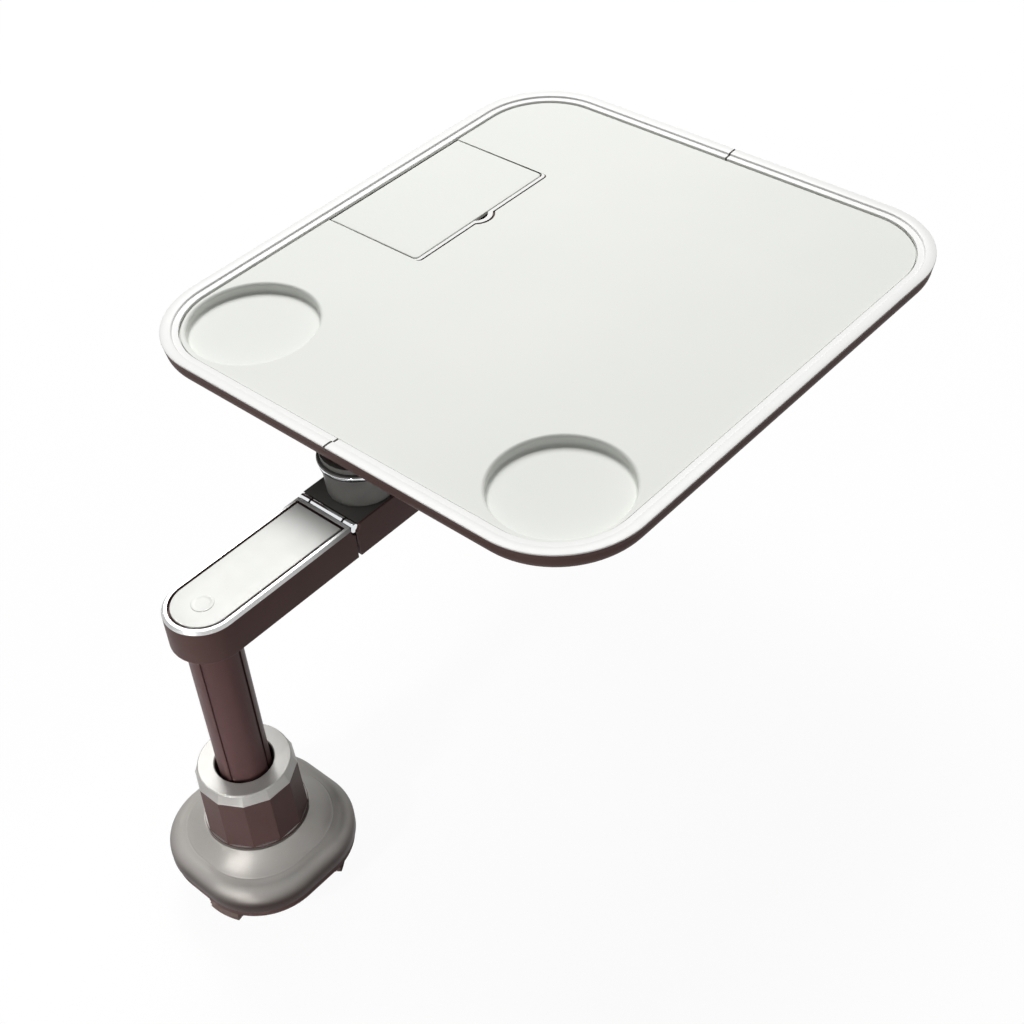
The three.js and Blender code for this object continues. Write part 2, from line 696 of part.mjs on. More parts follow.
// Knuckle hinge: the middle barrel belongs to the arm, the outer two to the link, on one pin
function makeHinge() {
  const bore = crossRod(hingePinRadius + seatGap, -armHalfWidth, armHalfWidth, 0, 0);
  const barrel = (y0, y1) => crossRod(knuckleRadius, y0, y1, 0, 0, roundSteps);
  const leafTop = -hingePinRadius - seatGap;
  const armFace = -faceGap / 2;
  const armLeaf = box(armFace - leafThickness, armFace, -halfMiddle, halfMiddle, -leafHeight, leafTop)
    .add(barrel(-halfMiddle, halfMiddle));
  const armKnuckle = moved(armLeaf.subtract(bore), 0, armReach, 0, hingeHeight);
  place(arm, 'arm_hinge_leaf', armKnuckle, materials.chrome);

  const inner = halfMiddle + knuckleGap;
  const linkFace = faceGap / 2;
  const plate = box(linkFace, linkFace + leafThickness, -hingeHalf, hingeHalf, -leafHeight, leafTop);
  const relief = crossRod(knuckleRadius + slideGap, -inner, inner, 0, 0, roundSteps);
  const linkLeaf = plate.subtract(relief).add(barrel(-barrelHalf, -inner)).add(barrel(inner, barrelHalf));
  place(link, 'link_hinge_leaf', linkLeaf.subtract(bore), materials.chrome);
  place(link, 'hinge_pin', crossRod(hingePinRadius, -barrelHalf, barrelHalf, 0, 0), materials.steel);
}

const linkBottom = hingeDrop - armHeight;

function linkRing(inset, z) {
  const half = armHalfWidth - inset;
  const end = linkLength - inset;
  const radius = linkCorner - inset;
  return [
    [faceGap / 2, -half, z],
    ...arc(end - radius, -half + radius, radius, -90, 0, z),
    ...arc(end - radius, half - radius, radius, 0, 90, z),
    [faceGap / 2, half, z],
  ];
}

// Link: the short block under the tray that carries the swivel
function makeLink() {
  const block = loft([
    linkRing(armBevel, linkBottom), linkRing(0, linkBottom + armBevel),
    linkRing(0, hingeDrop - seamGap), linkRing(seamGap, hingeDrop),
  ]);
  const capRadius = swivelNut.radius + recessMargin;
  const below = linkBottom - overrun;
  const leafBack = faceGap / 2 + leafThickness + seatGap;
  const across = armHalfWidth + overrun;
  const tools = [
    crossRod(knuckleRadius + slideGap, -across, across, 0, 0, roundSteps),
    box(0, leafBack, -hingeHalf - seatGap, hingeHalf + seatGap, -leafHeight - seatGap, 0),
    rod(swivelScrew.shank + slideGap, below, hingeDrop + overrun, swivelReach, 0, smallSteps),
    rod(capRadius, below, linkBottom + nutRecess, swivelReach),
  ];
  place(link, 'link_block', cut(block, tools), materials.anodised);
  const capLow = linkBottom + seatGap;
  const cap = rod(capRadius - seatGap, capLow, capLow + accessCapThickness, swivelReach);
  place(link, 'access_cap', cap, materials.dark);

  const [low, high] = [hingeDrop + seatGap, hingeDrop + seatGap + coneHeight];
  const bore = swivelScrew.shank + slideGap;
  const cone = turned([
    [bore, low], [coneFootRadius, low], [coneFootRadius + seamGap, high - coneFlare],
    [THREE.MathUtils.lerp(coneFootRadius, coneTopRadius, coneWaist), high - coneFlare / 2],
    [coneTopRadius, high], [bore, high],
  ], swivelReach);
  place(link, 'swivel_cone', cone, materials.anodised);
  const washerLow = hingeDrop + washerBottom;
  const washerHigh = washerLow + swivelWasherThickness;
  const washer = ringOf(coneTopRadius - ringWidth, bore, washerLow, washerHigh, swivelReach);
  place(link, 'swivel_washer', washer, materials.nylon);
}

const hubScrewPlaces = hubScrewRows.flatMap((x) => [[x, hubScrewAcross], [x, -hubScrewAcross]]);

// Swivel under the tray, in the tray's own frame: heights run down from the top of the plate
function makeSwivel() {
  const fromTop = (height) => height - panBottom - trayDepth;
  const bore = swivelScrew.shank + seatGap;
  const ring = turned([
    [bore, fromTop(ringBottom)], [coneTopRadius - ringWidth, fromTop(ringBottom)],
    [coneTopRadius, fromTop(ringBottom - swivelWasherThickness)],
    [coneTopRadius + seamGap, fromTop(ringBottom + ringHeight / 2)],
    [coneTopRadius, fromTop(ringBottom + ringHeight)], [bore, fromTop(ringBottom + ringHeight)],
  ]);
  place(tray, 'swivel_ring', ring, materials.chrome);
  const hubCorner = hubRadius - seatGap;
  const hubRing = (z) => roundedRing(-hubRadius, hubLength, -hubRadius, hubRadius, hubCorner, z);
  const hub = loft([hubRing(fromTop(hubBottom)), hubRing(fromTop(hubBottom + hubThickness))]);
  const tools = [rod(bore, fromTop(0), 0, 0, 0, smallSteps)];
  const screws = [];
  for (const [x, y] of hubScrewPlaces) {
    tools.push(rod(trayScrew.shank + seatGap, fromTop(0), 0, x, y, smallSteps));
    screws.push(screw(trayScrew, x, y, fromTop(hubBottom) - seatGap, 1));
  }
  place(tray, 'hub_plate', cut(hub, tools), materials.anodised);
  placeEach(tray, 'hub_screw', screws, materials.steel);
  const headSeat = fromTop(hubBottom + hubThickness) + seatGap;
  const nutTop = fromTop(nutRecess - armHeight) - seatGap;
  const nutBottom = nutTop - swivelNut.height;
  const bolt = { ...swivelScrew, length: headSeat - nutBottom };
  place(tray, 'swivel_bolt', screw(bolt, 0, 0, headSeat, -1), materials.steel);
  const hexagon = rod(swivelNut.radius, nutBottom, nutTop, 0, 0, swivelNut.sides);
  const thread = rod(bore, nutBottom - overrun, nutTop + overrun, 0, 0, smallSteps);
  place(tray, 'swivel_nut', hexagon.subtract(thread), materials.steel);
}

// The tray's outline, moved out from the edge of the open plate
function trayRing(outset, z) {
  const half = halfWidth + outset;
  return roundedRing(plateStart - outset, plateEnd + outset, -half, half, cornerRadius + outset, z);
}

const cupPlaces = [1, -1].map((side) => [plateStart + cupFromEnd, side * (halfWidth - cupFromSide)]);
const panFloorTop = panFloor - trayDepth;
const panScrewPlaces = [
  [plateEnd - 2 * panScrewMargin, halfWidth - 2 * panScrewMargin],
  [plateEnd - 2 * panScrewMargin, -halfWidth + 2 * panScrewMargin],
  [flapStart - panScrewMargin, halfWidth - panScrewMargin],
  [flapStart - panScrewMargin, -halfWidth + panScrewMargin],
];

// Pan: the shallow dark shell under the tray, with bosses for the swivel's screws
function makePan() {
  const outset = rimWidth - panInset;
  const top = -rimSkirt - seatGap;
  const bend = sweep(0, Math.PI / 2, bendSteps).map((angle) => {
    const [inset, rise] = [panRound * (1 - Math.sin(angle)), panRound * (1 - Math.cos(angle))];
    return trayRing(outset - inset, rise - trayDepth);
  });
  const shell = loft([...bend, trayRing(outset, top)]);
  const hollow = loft([
    trayRing(outset - panRound, panFloorTop), trayRing(outset - panWall, top + overrun),
  ]);
  const bossTop = panFloorTop + panBossHeight;
  const bosses = hubScrewPlaces.map(([x, y]) => rod(bossRadius, -trayDepth, bossTop, x, y, smallSteps));
  bosses.push(rod(hubBossRadius, -trayDepth, bossTop));
  const below = -trayDepth - overrun;
  const tools = [rod(swivelScrew.head + recessMargin, below, 0)];
  for (const [x, y] of panScrewPlaces) {
    tools.push(rod(trayScrew.shank + seatGap, below, panFloorTop + overrun, x, y, smallSteps));
  }
  for (const [x, y] of hubScrewPlaces) {
    const depth = trayScrew.length - hubThickness;
    tools.push(rod(trayScrew.shank + seatGap, below, depth - trayDepth, x, y, smallSteps));
  }
  place(tray, 'tray_pan', cut(shell.subtract(hollow).add(join(bosses)), tools), materials.dark);
  const screws = panScrewPlaces.map(([x, y]) => screw(trayScrew, x, y, -trayDepth - seatGap, 1));
  placeEach(tray, 'pan_screw', screws, materials.steel);
}

// The flap's outline in the tray frame: free corners rounded and, where asked for, a finger notch
function flapRing(outset, sideOutset, back, notch, z) {
  const x0 = flapStart - sideOutset;
  const x1 = x0 + flapLength + 2 * sideOutset;
  const y0 = halfWidth - flapDepth - outset;
  const middle = flapStart + notchAlong;
  const radius = notch ? notchRadius + outset : 0;
  return [
    [x1, back, z], [x0, back, z],
    ...arc(x0 + flapCorner, y0 + flapCorner, flapCorner, 180, 270, z, bendSteps),
    ...(notch ? arc(middle, y0 + radius / 2, radius, 210, 330, z) : []),
    ...arc(x1 - flapCorner, y0 + flapCorner, flapCorner, 270, 360, z, bendSteps),
  ];
}

// Room for the flap's rolled edge and for the ends of its rod, shared by the plate and the tub
function flapHingeTools() {
  const ends = [flapStart - flapLedge / 2, flapStop + flapLedge / 2];
  return [
    lengthRod(flapPinRadius + seatGap, ...ends, ...flapAxis),
    lengthRod(barrelRadius + slideGap, flapStart - seatGap, flapStop + seatGap, ...flapAxis),
  ];
}

// Plate: the pale top, rebated under the rim, with openings for the cup dishes and the flap
function makePlate() {
  const sheet = join([
    loft([trayRing(plateMargin, -plateThickness), trayRing(plateMargin, -rimRebate)]),
    loft([trayRing(-rimRebate, -plateThickness), trayRing(-rimRebate, 0)]),
  ]);
  const under = -plateThickness / 2;
  const foot = panFloorTop + seatGap;
  const bosses = panScrewPlaces.map(([x, y]) => rod(bossRadius, foot, under, x, y, smallSteps));
  const [low, high] = [-plateThickness - overrun, overrun];
  const bevelFront = seatGap + flapBevel;
  const tools = [
    ...panScrewPlaces.map(([x, y]) => (
      rod(trayScrew.shank + seatGap, -trayDepth, -plateThickness, x, y, smallSteps)
    )),
    ...cupPlaces.map(([x, y]) => rod(dishRadius + seatGap, low, high, x, y, dishSteps)),
    loft([low, high].map((z) => flapRing(seatGap, seatGap, halfWidth, true, z))),
    loft([
      flapRing(seatGap, seatGap, halfWidth, true, -flapBevelDepth),
      flapRing(bevelFront, seatGap, halfWidth, true, 0),
      flapRing(bevelFront, seatGap, halfWidth, true, overrun),
    ]),
    ...flapHingeTools(),
  ];
  place(tray, 'tray_plate', cut(join([sheet, ...bosses]), tools), materials.pale);
}

// Dishes: shallow round recesses with a soft lip, set into the plate from below
function makeDishes() {
  const names = ['cup_dish_left', 'cup_dish_right'];
  const bend = sweep(Math.PI / 2, 0, bendSteps).map((angle) => [
    cupRadius + cupFillet * (1 - Math.cos(angle)), cupFillet * (Math.sin(angle) - 1),
  ]);
  const wall = cupRadius + cupFloor;
  const floor = cupRadius - cupFillet / 2;
  const flange = dishRadius + dishFlange;
  const flangeLow = tubTop - cupFloor;
  cupPlaces.forEach(([x, y], i) => {
    const dish = turned([
      [0, -cupDepth - cupFloor], [floor, -cupDepth - cupFloor],
      [wall, flangeLow - cupFloor], [wall, flangeLow],
      [flange, flangeLow], [flange, tubTop], [dishRadius, tubTop],
      ...bend, [cupRadius, cupFillet / 2 - cupDepth], [floor, -cupDepth], [0, -cupDepth],
    ], x, y, dishSteps);
    place(tray, names[i], dish, materials.pale);
  });
}

// Tub: the compartment under the flap, with a ledge that the flap lies on and a scoop for a finger
function makeTub() {
  const front = cupFloor + notchRadius / 2;
  const back = halfWidth + cupFloor;
  const floor = -compartmentDepth - cupFloor;
  const block = loft([floor, tubTop].map((z) => flapRing(front, flapLedge, back, false, z)));
  const scoopFloor = tubTop - notchRadius / 2;
  const tools = [
    loft([-compartmentDepth, 0].map((z) => flapRing(-flapLedge, -flapLedge, halfWidth, false, z))),
    rod(notchRadius, scoopFloor, 0, flapStart + notchAlong, halfWidth - flapDepth + notchRadius / 2),
    ...flapHingeTools(),
  ];
  place(tray, 'compartment_tub', cut(block, tools), materials.dark);
  const pinEnds = [flapStart - flapLedge / 2 + seatGap, flapStop + flapLedge / 2 - seatGap];
  place(tray, 'flap_pin', lengthRod(flapPinRadius, ...pinEnds, ...flapAxis), materials.steel);
}

// Flap: a thin lid rolled round its hinge rod
function makeFlap() {
  const [back, axisZ] = flapAxis;
  const lid = loft([
    flapRing(0, 0, back, false, -flapThickness), flapRing(0, 0, back, false, -flapEdge),
    flapRing(-flapEdge, -flapEdge, back, false, 0),
  ]);
  const barrel = lengthRod(barrelRadius, flapStart, flapStop, ...flapAxis);
  const bore = lengthRod(flapPinRadius + seatGap, flapStart - overrun, flapStop + overrun, ...flapAxis);
  const rolled = lid.add(barrel).subtract(bore);
  place(flap, 'flap_lid', moved(rolled, 0, -flapStart, -back, -axisZ), materials.pale);
}

// Rim: a bead with an inner ledge, swept round one half of the tray and cut square at the seams
function makeRims() {
  const lip = plateMargin + slideGap;
  const rimFoot = seatGap - rimRebate;
  const bead = rimWidth - ledgeWidth;
  const crown = sweep(crownStart, 180, crownSteps).map((angle) => [
    ledgeWidth + bead / 2 - bead / 2 * Math.cos(turns(angle)),
    ledgeHeight / 2 + (rimHeight - ledgeHeight / 2) * Math.sin(turns(angle)),
  ]);
  const profile = [
    [0, rimFoot], [seatGap, ledgeHeight], [ledgeWidth - seatGap, ledgeHeight],
    [ledgeWidth, ledgeHeight - seatGap], ...crown, [rimWidth, seatGap - rimSkirt / 2],
    [rimWidth - panInset / 2, -rimSkirt], [lip, -rimSkirt], [lip, rimFoot],
  ];
  const band = hoop(profile.reverse().map(([outset, z]) => trayRing(outset, z)));
  const [x0, x1, y1] = [plateStart - 2 * rimWidth, plateEnd + 2 * rimWidth, halfWidth + 2 * rimWidth];
  const half = (from, to) => band.intersect(box(x0, x1, from, to, -trayDepth, trayDepth));
  place(tray, 'rim_left', half(seamGap / 2, y1), materials.white);
  place(tray, 'rim_right', half(-y1, -seamGap / 2), materials.white);
}

makeFootPlate();
makePlugBody();
makeLegs();
makeBaseCap();
makeCollar();
makeScroll();
makePost();
makeArm();
makeHinge();
makeLink();
makeSwivel();
makePan();
makePlate();
makeDishes();
makeTub();
makeFlap();
makeRims();

export default whole;
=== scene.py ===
# %% [markdown]
# # A tray for a car's cup holder
# A plug grips the cup holder, a post stands in it, an arm swings on the post, and a tray folds and
# turns on the end of the arm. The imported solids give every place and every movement. This lesson
# dresses them: each piece that shows gets a finer surface in the same place, and each finish is built
# from nodes.
#
# Lengths are in millimetres. Only the lamps, the camera and the floor are in metres. Where a piece has
# a place of its own, such as TRAY_AT, its points are counted from there.

# %% Frame
import json

import bmesh
import bpy
import numpy as np
from mathutils import Euler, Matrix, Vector
from mathutils.geometry import tessellate_polygon


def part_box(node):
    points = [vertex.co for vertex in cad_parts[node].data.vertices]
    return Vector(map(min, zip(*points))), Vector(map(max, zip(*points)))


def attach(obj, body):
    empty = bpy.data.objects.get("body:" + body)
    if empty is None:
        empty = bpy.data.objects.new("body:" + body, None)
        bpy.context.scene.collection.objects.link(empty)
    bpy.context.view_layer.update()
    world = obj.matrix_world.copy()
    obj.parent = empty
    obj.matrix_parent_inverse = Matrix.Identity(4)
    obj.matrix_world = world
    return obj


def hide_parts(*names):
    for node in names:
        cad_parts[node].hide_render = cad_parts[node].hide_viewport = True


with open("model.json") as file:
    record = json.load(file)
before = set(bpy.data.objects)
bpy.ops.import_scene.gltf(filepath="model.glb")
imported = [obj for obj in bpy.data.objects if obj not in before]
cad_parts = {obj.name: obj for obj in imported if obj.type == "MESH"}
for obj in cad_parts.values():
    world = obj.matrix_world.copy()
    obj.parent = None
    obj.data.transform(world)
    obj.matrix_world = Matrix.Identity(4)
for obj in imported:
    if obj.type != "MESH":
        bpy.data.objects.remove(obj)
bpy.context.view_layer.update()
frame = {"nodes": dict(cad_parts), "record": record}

# %% [markdown]
# ## Colours and nodes
# A colour is easiest to pick as an sRGB hex value, but nodes count in linear light, so one function
# turns it over. The finishes, the world and the floor are node trees. They could be put together by
# hand in the shader editor, but a function that adds one node at a time can be read and run again.

# %% Colours and nodes
MM = 0.001
WHITE = (1, 1, 1, 1)
# A Mix node has one set of sockets for each kind of data. These are the numbers of those for colours.
SHARE, FIRST, SECOND, MIXED = 0, 6, 7, 2


def colour(code):
    """Turns an sRGB hex colour to linear: v/12.92 below 0.04045, else ((v+0.055)/1.055)^2.4."""
    v = np.array([int(code[i:i + 2], 16) for i in (1, 3, 5)]) / 255
    return (*np.where(v <= 0.04045, v / 12.92, ((v + 0.055) / 1.055) ** 2.4).tolist(), 1.0)


def add(tree, kind, inputs=None, **settings):
    """Adds one node with its settings, and gives each input a value or a link from a node's output."""
    made = tree.nodes.new("ShaderNode" + kind)
    for key, value in settings.items():
        setattr(made, key, value)
    for key, value in (inputs or {}).items():
        if isinstance(value, bpy.types.NodeSocket):
            tree.links.new(value, made.inputs[key])
        else:
            made.inputs[key].default_value = value
    return made


def empty_tree(owner):
    """Gives a material or the world a node tree with nothing in it."""
    owner.use_nodes = True
    owner.node_tree.nodes.clear()
    return owner.node_tree


print("pale plastic in linear light:", np.round(colour("#EBECE7"), 3))

# %% [markdown]
# ## World
# The photograph is a studio shot on white. So the world is white to the camera, in reflections and
# through clear things, and bright metal has something to mirror. To everything else it is a dim soft
# light. A lit backdrop would be white too, but it would also brighten the tray.

# %% World
WORLD_STRENGTH = 0.15


def sight(tree):
    """1 for a ray that looks at the background, else 0: the maximum of camera, glossy and transmission."""
    path = add(tree, "LightPath")
    mirrored = add(tree, "Math", {0: path.outputs["Is Glossy Ray"], 1: path.outputs["Is Transmission Ray"]},
                   operation="MAXIMUM")
    seen = add(tree, "Math", {0: path.outputs["Is Camera Ray"], 1: mirrored.outputs[0]},
               operation="MAXIMUM")
    return seen.outputs[0]


scene = bpy.context.scene
scene.view_settings.view_transform = "Standard"
scene.world = bpy.data.worlds.new("studio")
tree = empty_tree(scene.world)
soft = add(tree, "Background", {"Color": colour("#F6F7F8"), "Strength": WORLD_STRENGTH})
white = add(tree, "Background", {"Color": WHITE, "Strength": 1.0})
both = add(tree, "MixShader", {0: sight(tree), 1: soft.outputs[0], 2: white.outputs[0]})
add(tree, "OutputWorld", {"Surface": both.outputs[0]})
print("world made with", len(tree.nodes), "nodes")

# %% [markdown]
# ## Lamps
# One large soft lamp behind the tray lights the plate and leaves the near sides dark, as in the
# photograph. A low one from the near left lights the post, the arm and the base, and a narrow one picks
# out the plug. A sun would be simpler, but its hard shadows don't suit a studio. The lamps stay at a
# level at which a colour renders about as it is written.

# %% Lamps


def lamp(name, place, aim, size, power, spread=180):
    """A square soft lamp at a place, turned so that its -Z axis points at its aim. spread is in degrees."""
    light = bpy.data.lights.new(name, "AREA")
    light.size = size
    light.energy = power
    light.spread = np.radians(spread)
    holder = bpy.data.objects.new(name, light)
    holder.location = place
    holder.rotation_euler = (Vector(aim) - Vector(place)).to_track_quat("-Z", "Y").to_euler()
    scene.collection.objects.link(holder)
    print("lamp", name, "of", power, "W")


lamp("key", (1.52, 1.45, 2.83), aim=(0.18, 0.0, 0.2), size=1.7, power=110.0)
lamp("low", (-1.6, -0.78, 0.1), aim=(0.0, 0.0, 0.12), size=0.26, power=13.5)
lamp("plug", (-1.3, -0.1, 1.0), aim=(-0.02, -0.01, 0.03), size=0.3, power=0.12, spread=8)

# %% [markdown]
# ## Camera
# The camera stands where the photograph was taken from. It could be moved by eye until the picture
# fits, but the rim is only a few pixels wide. So its place, turn and lens were solved by least squares
# from the straight edges of the tray and its round recesses.

# %% Camera
camera = bpy.data.cameras.new("photo")
camera.lens = 58.324
camera.sensor_width = 36
camera.clip_start = 0.01
viewer = bpy.data.objects.new("photo", camera)
viewer.location = (-0.30171, -0.51107, 0.78321)
viewer.rotation_euler = Euler(np.radians((47.32578, 3.47608, -48.78202)), "XYZ")
scene.collection.objects.link(viewer)
scene.camera = viewer
print("camera at", [round(v, 3) for v in viewer.location], "lens", round(camera.lens, 3))

# %% [markdown]
# ## Surfaces as arrays
# Every new piece is a closed outline carried along a path. The outline and the path are arrays, so a
# row of points is one step of the path, and the faces follow by counting. A flat face with holes is cut
# into triangles instead. Lofting by hand or with modifiers would work too, but arrays keep each size
# tied to one number.
#
# A shape is four arrays: its points, the corners of all its faces in one row, the number of corners of
# each face, and the tone of each face, which is the number of its finish.

# %% Skins


def raised(flat, z):
    """Gives every row of flat points its height: (steps, around, 2) becomes (steps, around, 3)."""
    level = np.broadcast_to(np.asarray(z, float)[:, None, None], flat.shape[:2] + (1,))
    return np.concatenate([flat, level], -1)


def skin(rows, ring=False, lids=True, tone=0):
    """Carries a closed outline along a path: point (i, j) is outline point j at step i.

    Each quad joins (i, j), (i, j+1), (i+1, j+1) and (i+1, j). A ring closes the path on itself, and lids
    close its two ends. The tone is one number, or an array that fits steps by outline points.
    """
    rows = np.asarray(rows, float)
    steps, around = rows.shape[:2]
    spans = steps if ring else steps - 1
    i, j = np.meshgrid(np.arange(spans), np.arange(around), indexing="ij")
    here, there = i * around, (i + 1) % steps * around
    ahead = (j + 1) % around
    corners = np.stack([here + j, here + ahead, there + ahead, there + j], -1).ravel()
    counts = np.full(spans * around, 4)
    tones = np.broadcast_to(tone, (spans, around)).ravel()
    if lids and not ring:
        end = np.arange(around)
        corners = np.r_[corners, end[::-1], end + (steps - 1) * around]
        counts = np.r_[counts, around, around]
        tones = np.r_[tones, tones[0], tones[-1]]
    return rows.reshape(-1, 3), corners, counts, tones


def panel(loops, z):
    """A flat face at height z in triangles: the first loop is its outline and the others are holes."""
    flat = [np.column_stack([loop, np.full(len(loop), z)]) for loop in loops]
    faces = np.array(tessellate_polygon([loop.tolist() for loop in flat]))
    return np.vstack(flat), faces.ravel(), np.full(len(faces), 3), np.zeros(len(faces), int)


def joined(*shapes):
    """Several shapes as one: the corners of each count on from the points before it."""
    points, corners, counts, tones = zip(*shapes)
    starts = np.cumsum([0] + [len(own) for own in points[:-1]])
    corners = [own + start for own, start in zip(corners, starts)]
    return np.vstack(points), np.concatenate(corners), np.concatenate(counts), np.concatenate(tones)


print("faces of a square rod with lids:", len(skin(np.zeros((2, 4, 3)))[2]))

# %% [markdown]
# ## From arrays to a piece
# Each array goes into the mesh in one step. Points that meet are merged, so that skins close on each
# other, and the faces are turned outward. Smooth shading with edges kept sharp above an angle shows
# curves as curves and corners as corners. A Bevel modifier could soften the corners, but the profiles
# already do. Then the piece is told which body it rides on and which solids it replaces, and it gets its
# finishes.

# %% From arrays to a piece
SAME_POINT = 0.002


def closed_mesh(name, shape, at, sharp):
    """A mesh in metres of a shape moved to its place, merged, outward, and sharp above an angle."""
    points, corners, counts, tones = shape
    mesh = bpy.data.meshes.new(name)
    mesh.vertices.add(len(points))
    mesh.vertices.foreach_set("co", ((points + np.asarray(at)) * MM).ravel())
    mesh.loops.add(len(corners))
    mesh.loops.foreach_set("vertex_index", corners)
    mesh.polygons.add(len(counts))
    mesh.polygons.foreach_set("loop_start", np.cumsum(counts) - counts)
    mesh.polygons.foreach_set("material_index", tones)
    mesh.update(calc_edges=True)
    work = bmesh.new()
    work.from_mesh(mesh)
    bmesh.ops.remove_doubles(work, verts=work.verts, dist=SAME_POINT * MM)
    bmesh.ops.recalc_face_normals(work, faces=work.faces)
    work.to_mesh(mesh)
    work.free()
    mesh.shade_smooth()
    mesh.set_sharp_from_angle(angle=np.radians(sharp))
    return mesh


def make_piece(name, shape, body, finishes, nodes, at=(0, 0, 0), sharp=32):
    """Makes a piece of a shape with its finishes, riding on a body in place of the solids it replaces."""
    mesh = closed_mesh(name, shape, at, sharp)
    for coat in finishes:
        mesh.materials.append(coat)
    piece = bpy.data.objects.new(name, mesh)
    scene.collection.objects.link(piece)
    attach(piece, body)
    if nodes:
        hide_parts(*nodes)
    print(name, len(mesh.polygons), "faces")


print("points closer than", SAME_POINT, "mm become one")

# %% [markdown]
# ## Profiles
# Moulded and cast parts have no knife edges, so a profile is drawn with sharp corners first and then
# softened. Most round parts are a profile turned about an axis. The Screw modifier does that too, but
# an array can also carry a tone for each step.

# %% Profiles


def softened(profile, reach, steps=4):
    """Rounds each inner corner P of a line with (1-t)^2 A + 2t(1-t) P + t^2 B.

    A and B lie on the two sides of the corner, at the given reach from it or half way at most.
    """
    p = np.asarray(profile, float)
    before, here, after = p[:-2], p[1:-1], p[2:]
    reach = np.broadcast_to(reach, len(here))[:, None]
    ends = []
    for other in (before, after):
        span = np.linalg.norm(other - here, axis=1, keepdims=True)
        ends.append((here + (other - here) * np.minimum(reach / span, 0.5))[:, None])
    t = np.linspace(0, 1, steps + 1)[None, :, None]
    curve = (1 - t) ** 2 * ends[0] + 2 * t * (1 - t) * here[:, None] + t ** 2 * ends[1]
    return np.vstack([p[:1], curve.reshape(-1, 2), p[-1:]])


def turned(profile, steps=96, centre=(0, 0), **how):
    """Turns a profile (radius, z) about Z: x = r cos a, y = r sin a."""
    r, z = np.asarray(profile, float).T
    a = np.linspace(0, 2 * np.pi, steps, endpoint=False)
    x = centre[0] + np.outer(r, np.cos(a))
    y = centre[1] + np.outer(r, np.sin(a))
    return skin(raised(np.stack([x, y], -1), z), **how)


def circle(centre, radius, steps=96):
    """A round loop: centre + radius (cos a, sin a)."""
    a = np.linspace(0, 2 * np.pi, steps, endpoint=False)
    return np.column_stack([centre[0] + radius * np.cos(a), centre[1] + radius * np.sin(a)])


def bow(centre, radius, start, stop, steps):
    """Part of a circle between two angles in degrees: centre + radius (cos a, sin a)."""
    a = np.radians(np.linspace(start, stop, steps + 1))
    return np.column_stack([centre[0] + radius * np.cos(a), centre[1] + radius * np.sin(a)])


print("a softened square corner:", np.round(softened([[0, 0], [1, 0], [1, 1]], 0.4, 2), 2).tolist())

# %% [markdown]
# ## Finishes
# The real tray shows a matt pale moulding, a glossy white rim, dark moulded plastic, coated castings in
# brown, grey and silver tones, a satin cover, and bright metal on the hinge and the cut edges. Image
# textures could hold all this, but noise has no seams and its size can be given in millimetres. Every
# finish is built the same way: broad patches move the colour a little, and a fine grain moves the
# roughness and raises the surface. Only the sizes, the tones and the gloss differ.
#
# The real grain of a spark-eroded tool or a blasted casting is finer than 0.1 mm and wouldn't show
# here, so it is drawn about 0.6 mm wide.

# %% One way to build a finish
# Most of a noise lies between these two values.
NOISE_LOW, NOISE_HIGH = 0.3, 0.7


def finish(name, light, dark, rough, metallic=0.0, patch=40, grain=0.5, depth=0.01,
           stretch=(1, 1, 1), specular=0.5, painted_shade=None):
    """A finish: patches blend two colours, and a grain moves the roughness in a range and gives the bump.

    patch, grain and depth are in mm. With painted_shade = (low, high, shade) the colour is painted from the
    shade at height low to its own at height high, in mm too: painted shade on the lower part.
    """
    material = bpy.data.materials.new(name)
    tree = empty_tree(material)
    place = add(tree, "TexCoord")
    turn = add(tree, "Mapping", {"Vector": place.outputs["Object"], "Scale": stretch})
    broad = add(tree, "TexNoise", {"Vector": turn.outputs[0], "Scale": 1 / (patch * MM), "Detail": 3.0})
    fine = add(tree, "TexNoise", {"Vector": turn.outputs[0], "Scale": 1 / (grain * MM), "Detail": 2.0})
    tone = add(tree, "Mix", {SHARE: broad.outputs[0], FIRST: colour(dark), SECOND: colour(light)},
               data_type="RGBA")
    # Painted shade: the colour darkens towards the shade below the height high.
    if painted_shade:
        low, high, shade = painted_shade
        height = add(tree, "SeparateXYZ", {0: place.outputs["Object"]})
        climb = add(tree, "MapRange", {"Value": height.outputs["Z"], "From Min": low * MM,
                                       "From Max": high * MM, "To Min": 0.0, "To Max": 1.0},
                    interpolation_type="SMOOTHSTEP")
        tone = add(tree, "Mix", {SHARE: climb.outputs[0], FIRST: colour(shade), SECOND: tone.outputs[MIXED]},
                   data_type="RGBA")
    gloss = add(tree, "MapRange", {"Value": fine.outputs[0], "From Min": NOISE_LOW, "From Max": NOISE_HIGH,
                                   "To Min": rough[0], "To Max": rough[1]})
    bump = add(tree, "Bump", {"Height": fine.outputs[0], "Distance": depth * MM, "Strength": 1.0})
    shader = add(tree, "BsdfPrincipled", {
        "Base Color": tone.outputs[MIXED], "Roughness": gloss.outputs[0], "Normal": bump.outputs[0],
        "Metallic": metallic, "Specular IOR Level": specular})
    add(tree, "OutputMaterial", {"Surface": shader.outputs[0]})
    print("finish", name, len(tree.nodes), "nodes")
    return material


print("noise is used from", NOISE_LOW, "to", NOISE_HIGH)

# %% Moulded plastics and rubber
# ABS from a tool with a fine spark texture: matt, almost white, with no clear reflections.
pale_abs = finish("pale_moulded_abs", "#EBECE7", "#E5E7E2", (0.5, 0.6), patch=90, grain=0.6, depth=0.008,
                  specular=0.3)
# ABS from a polished tool: the same plastic, whiter, with a clear sheen along the bead.
white_abs = finish("white_polished_abs", "#ECECEA", "#E9E9E7", (0.36, 0.4), patch=60, grain=8, depth=0.0005,
                   specular=0.4)
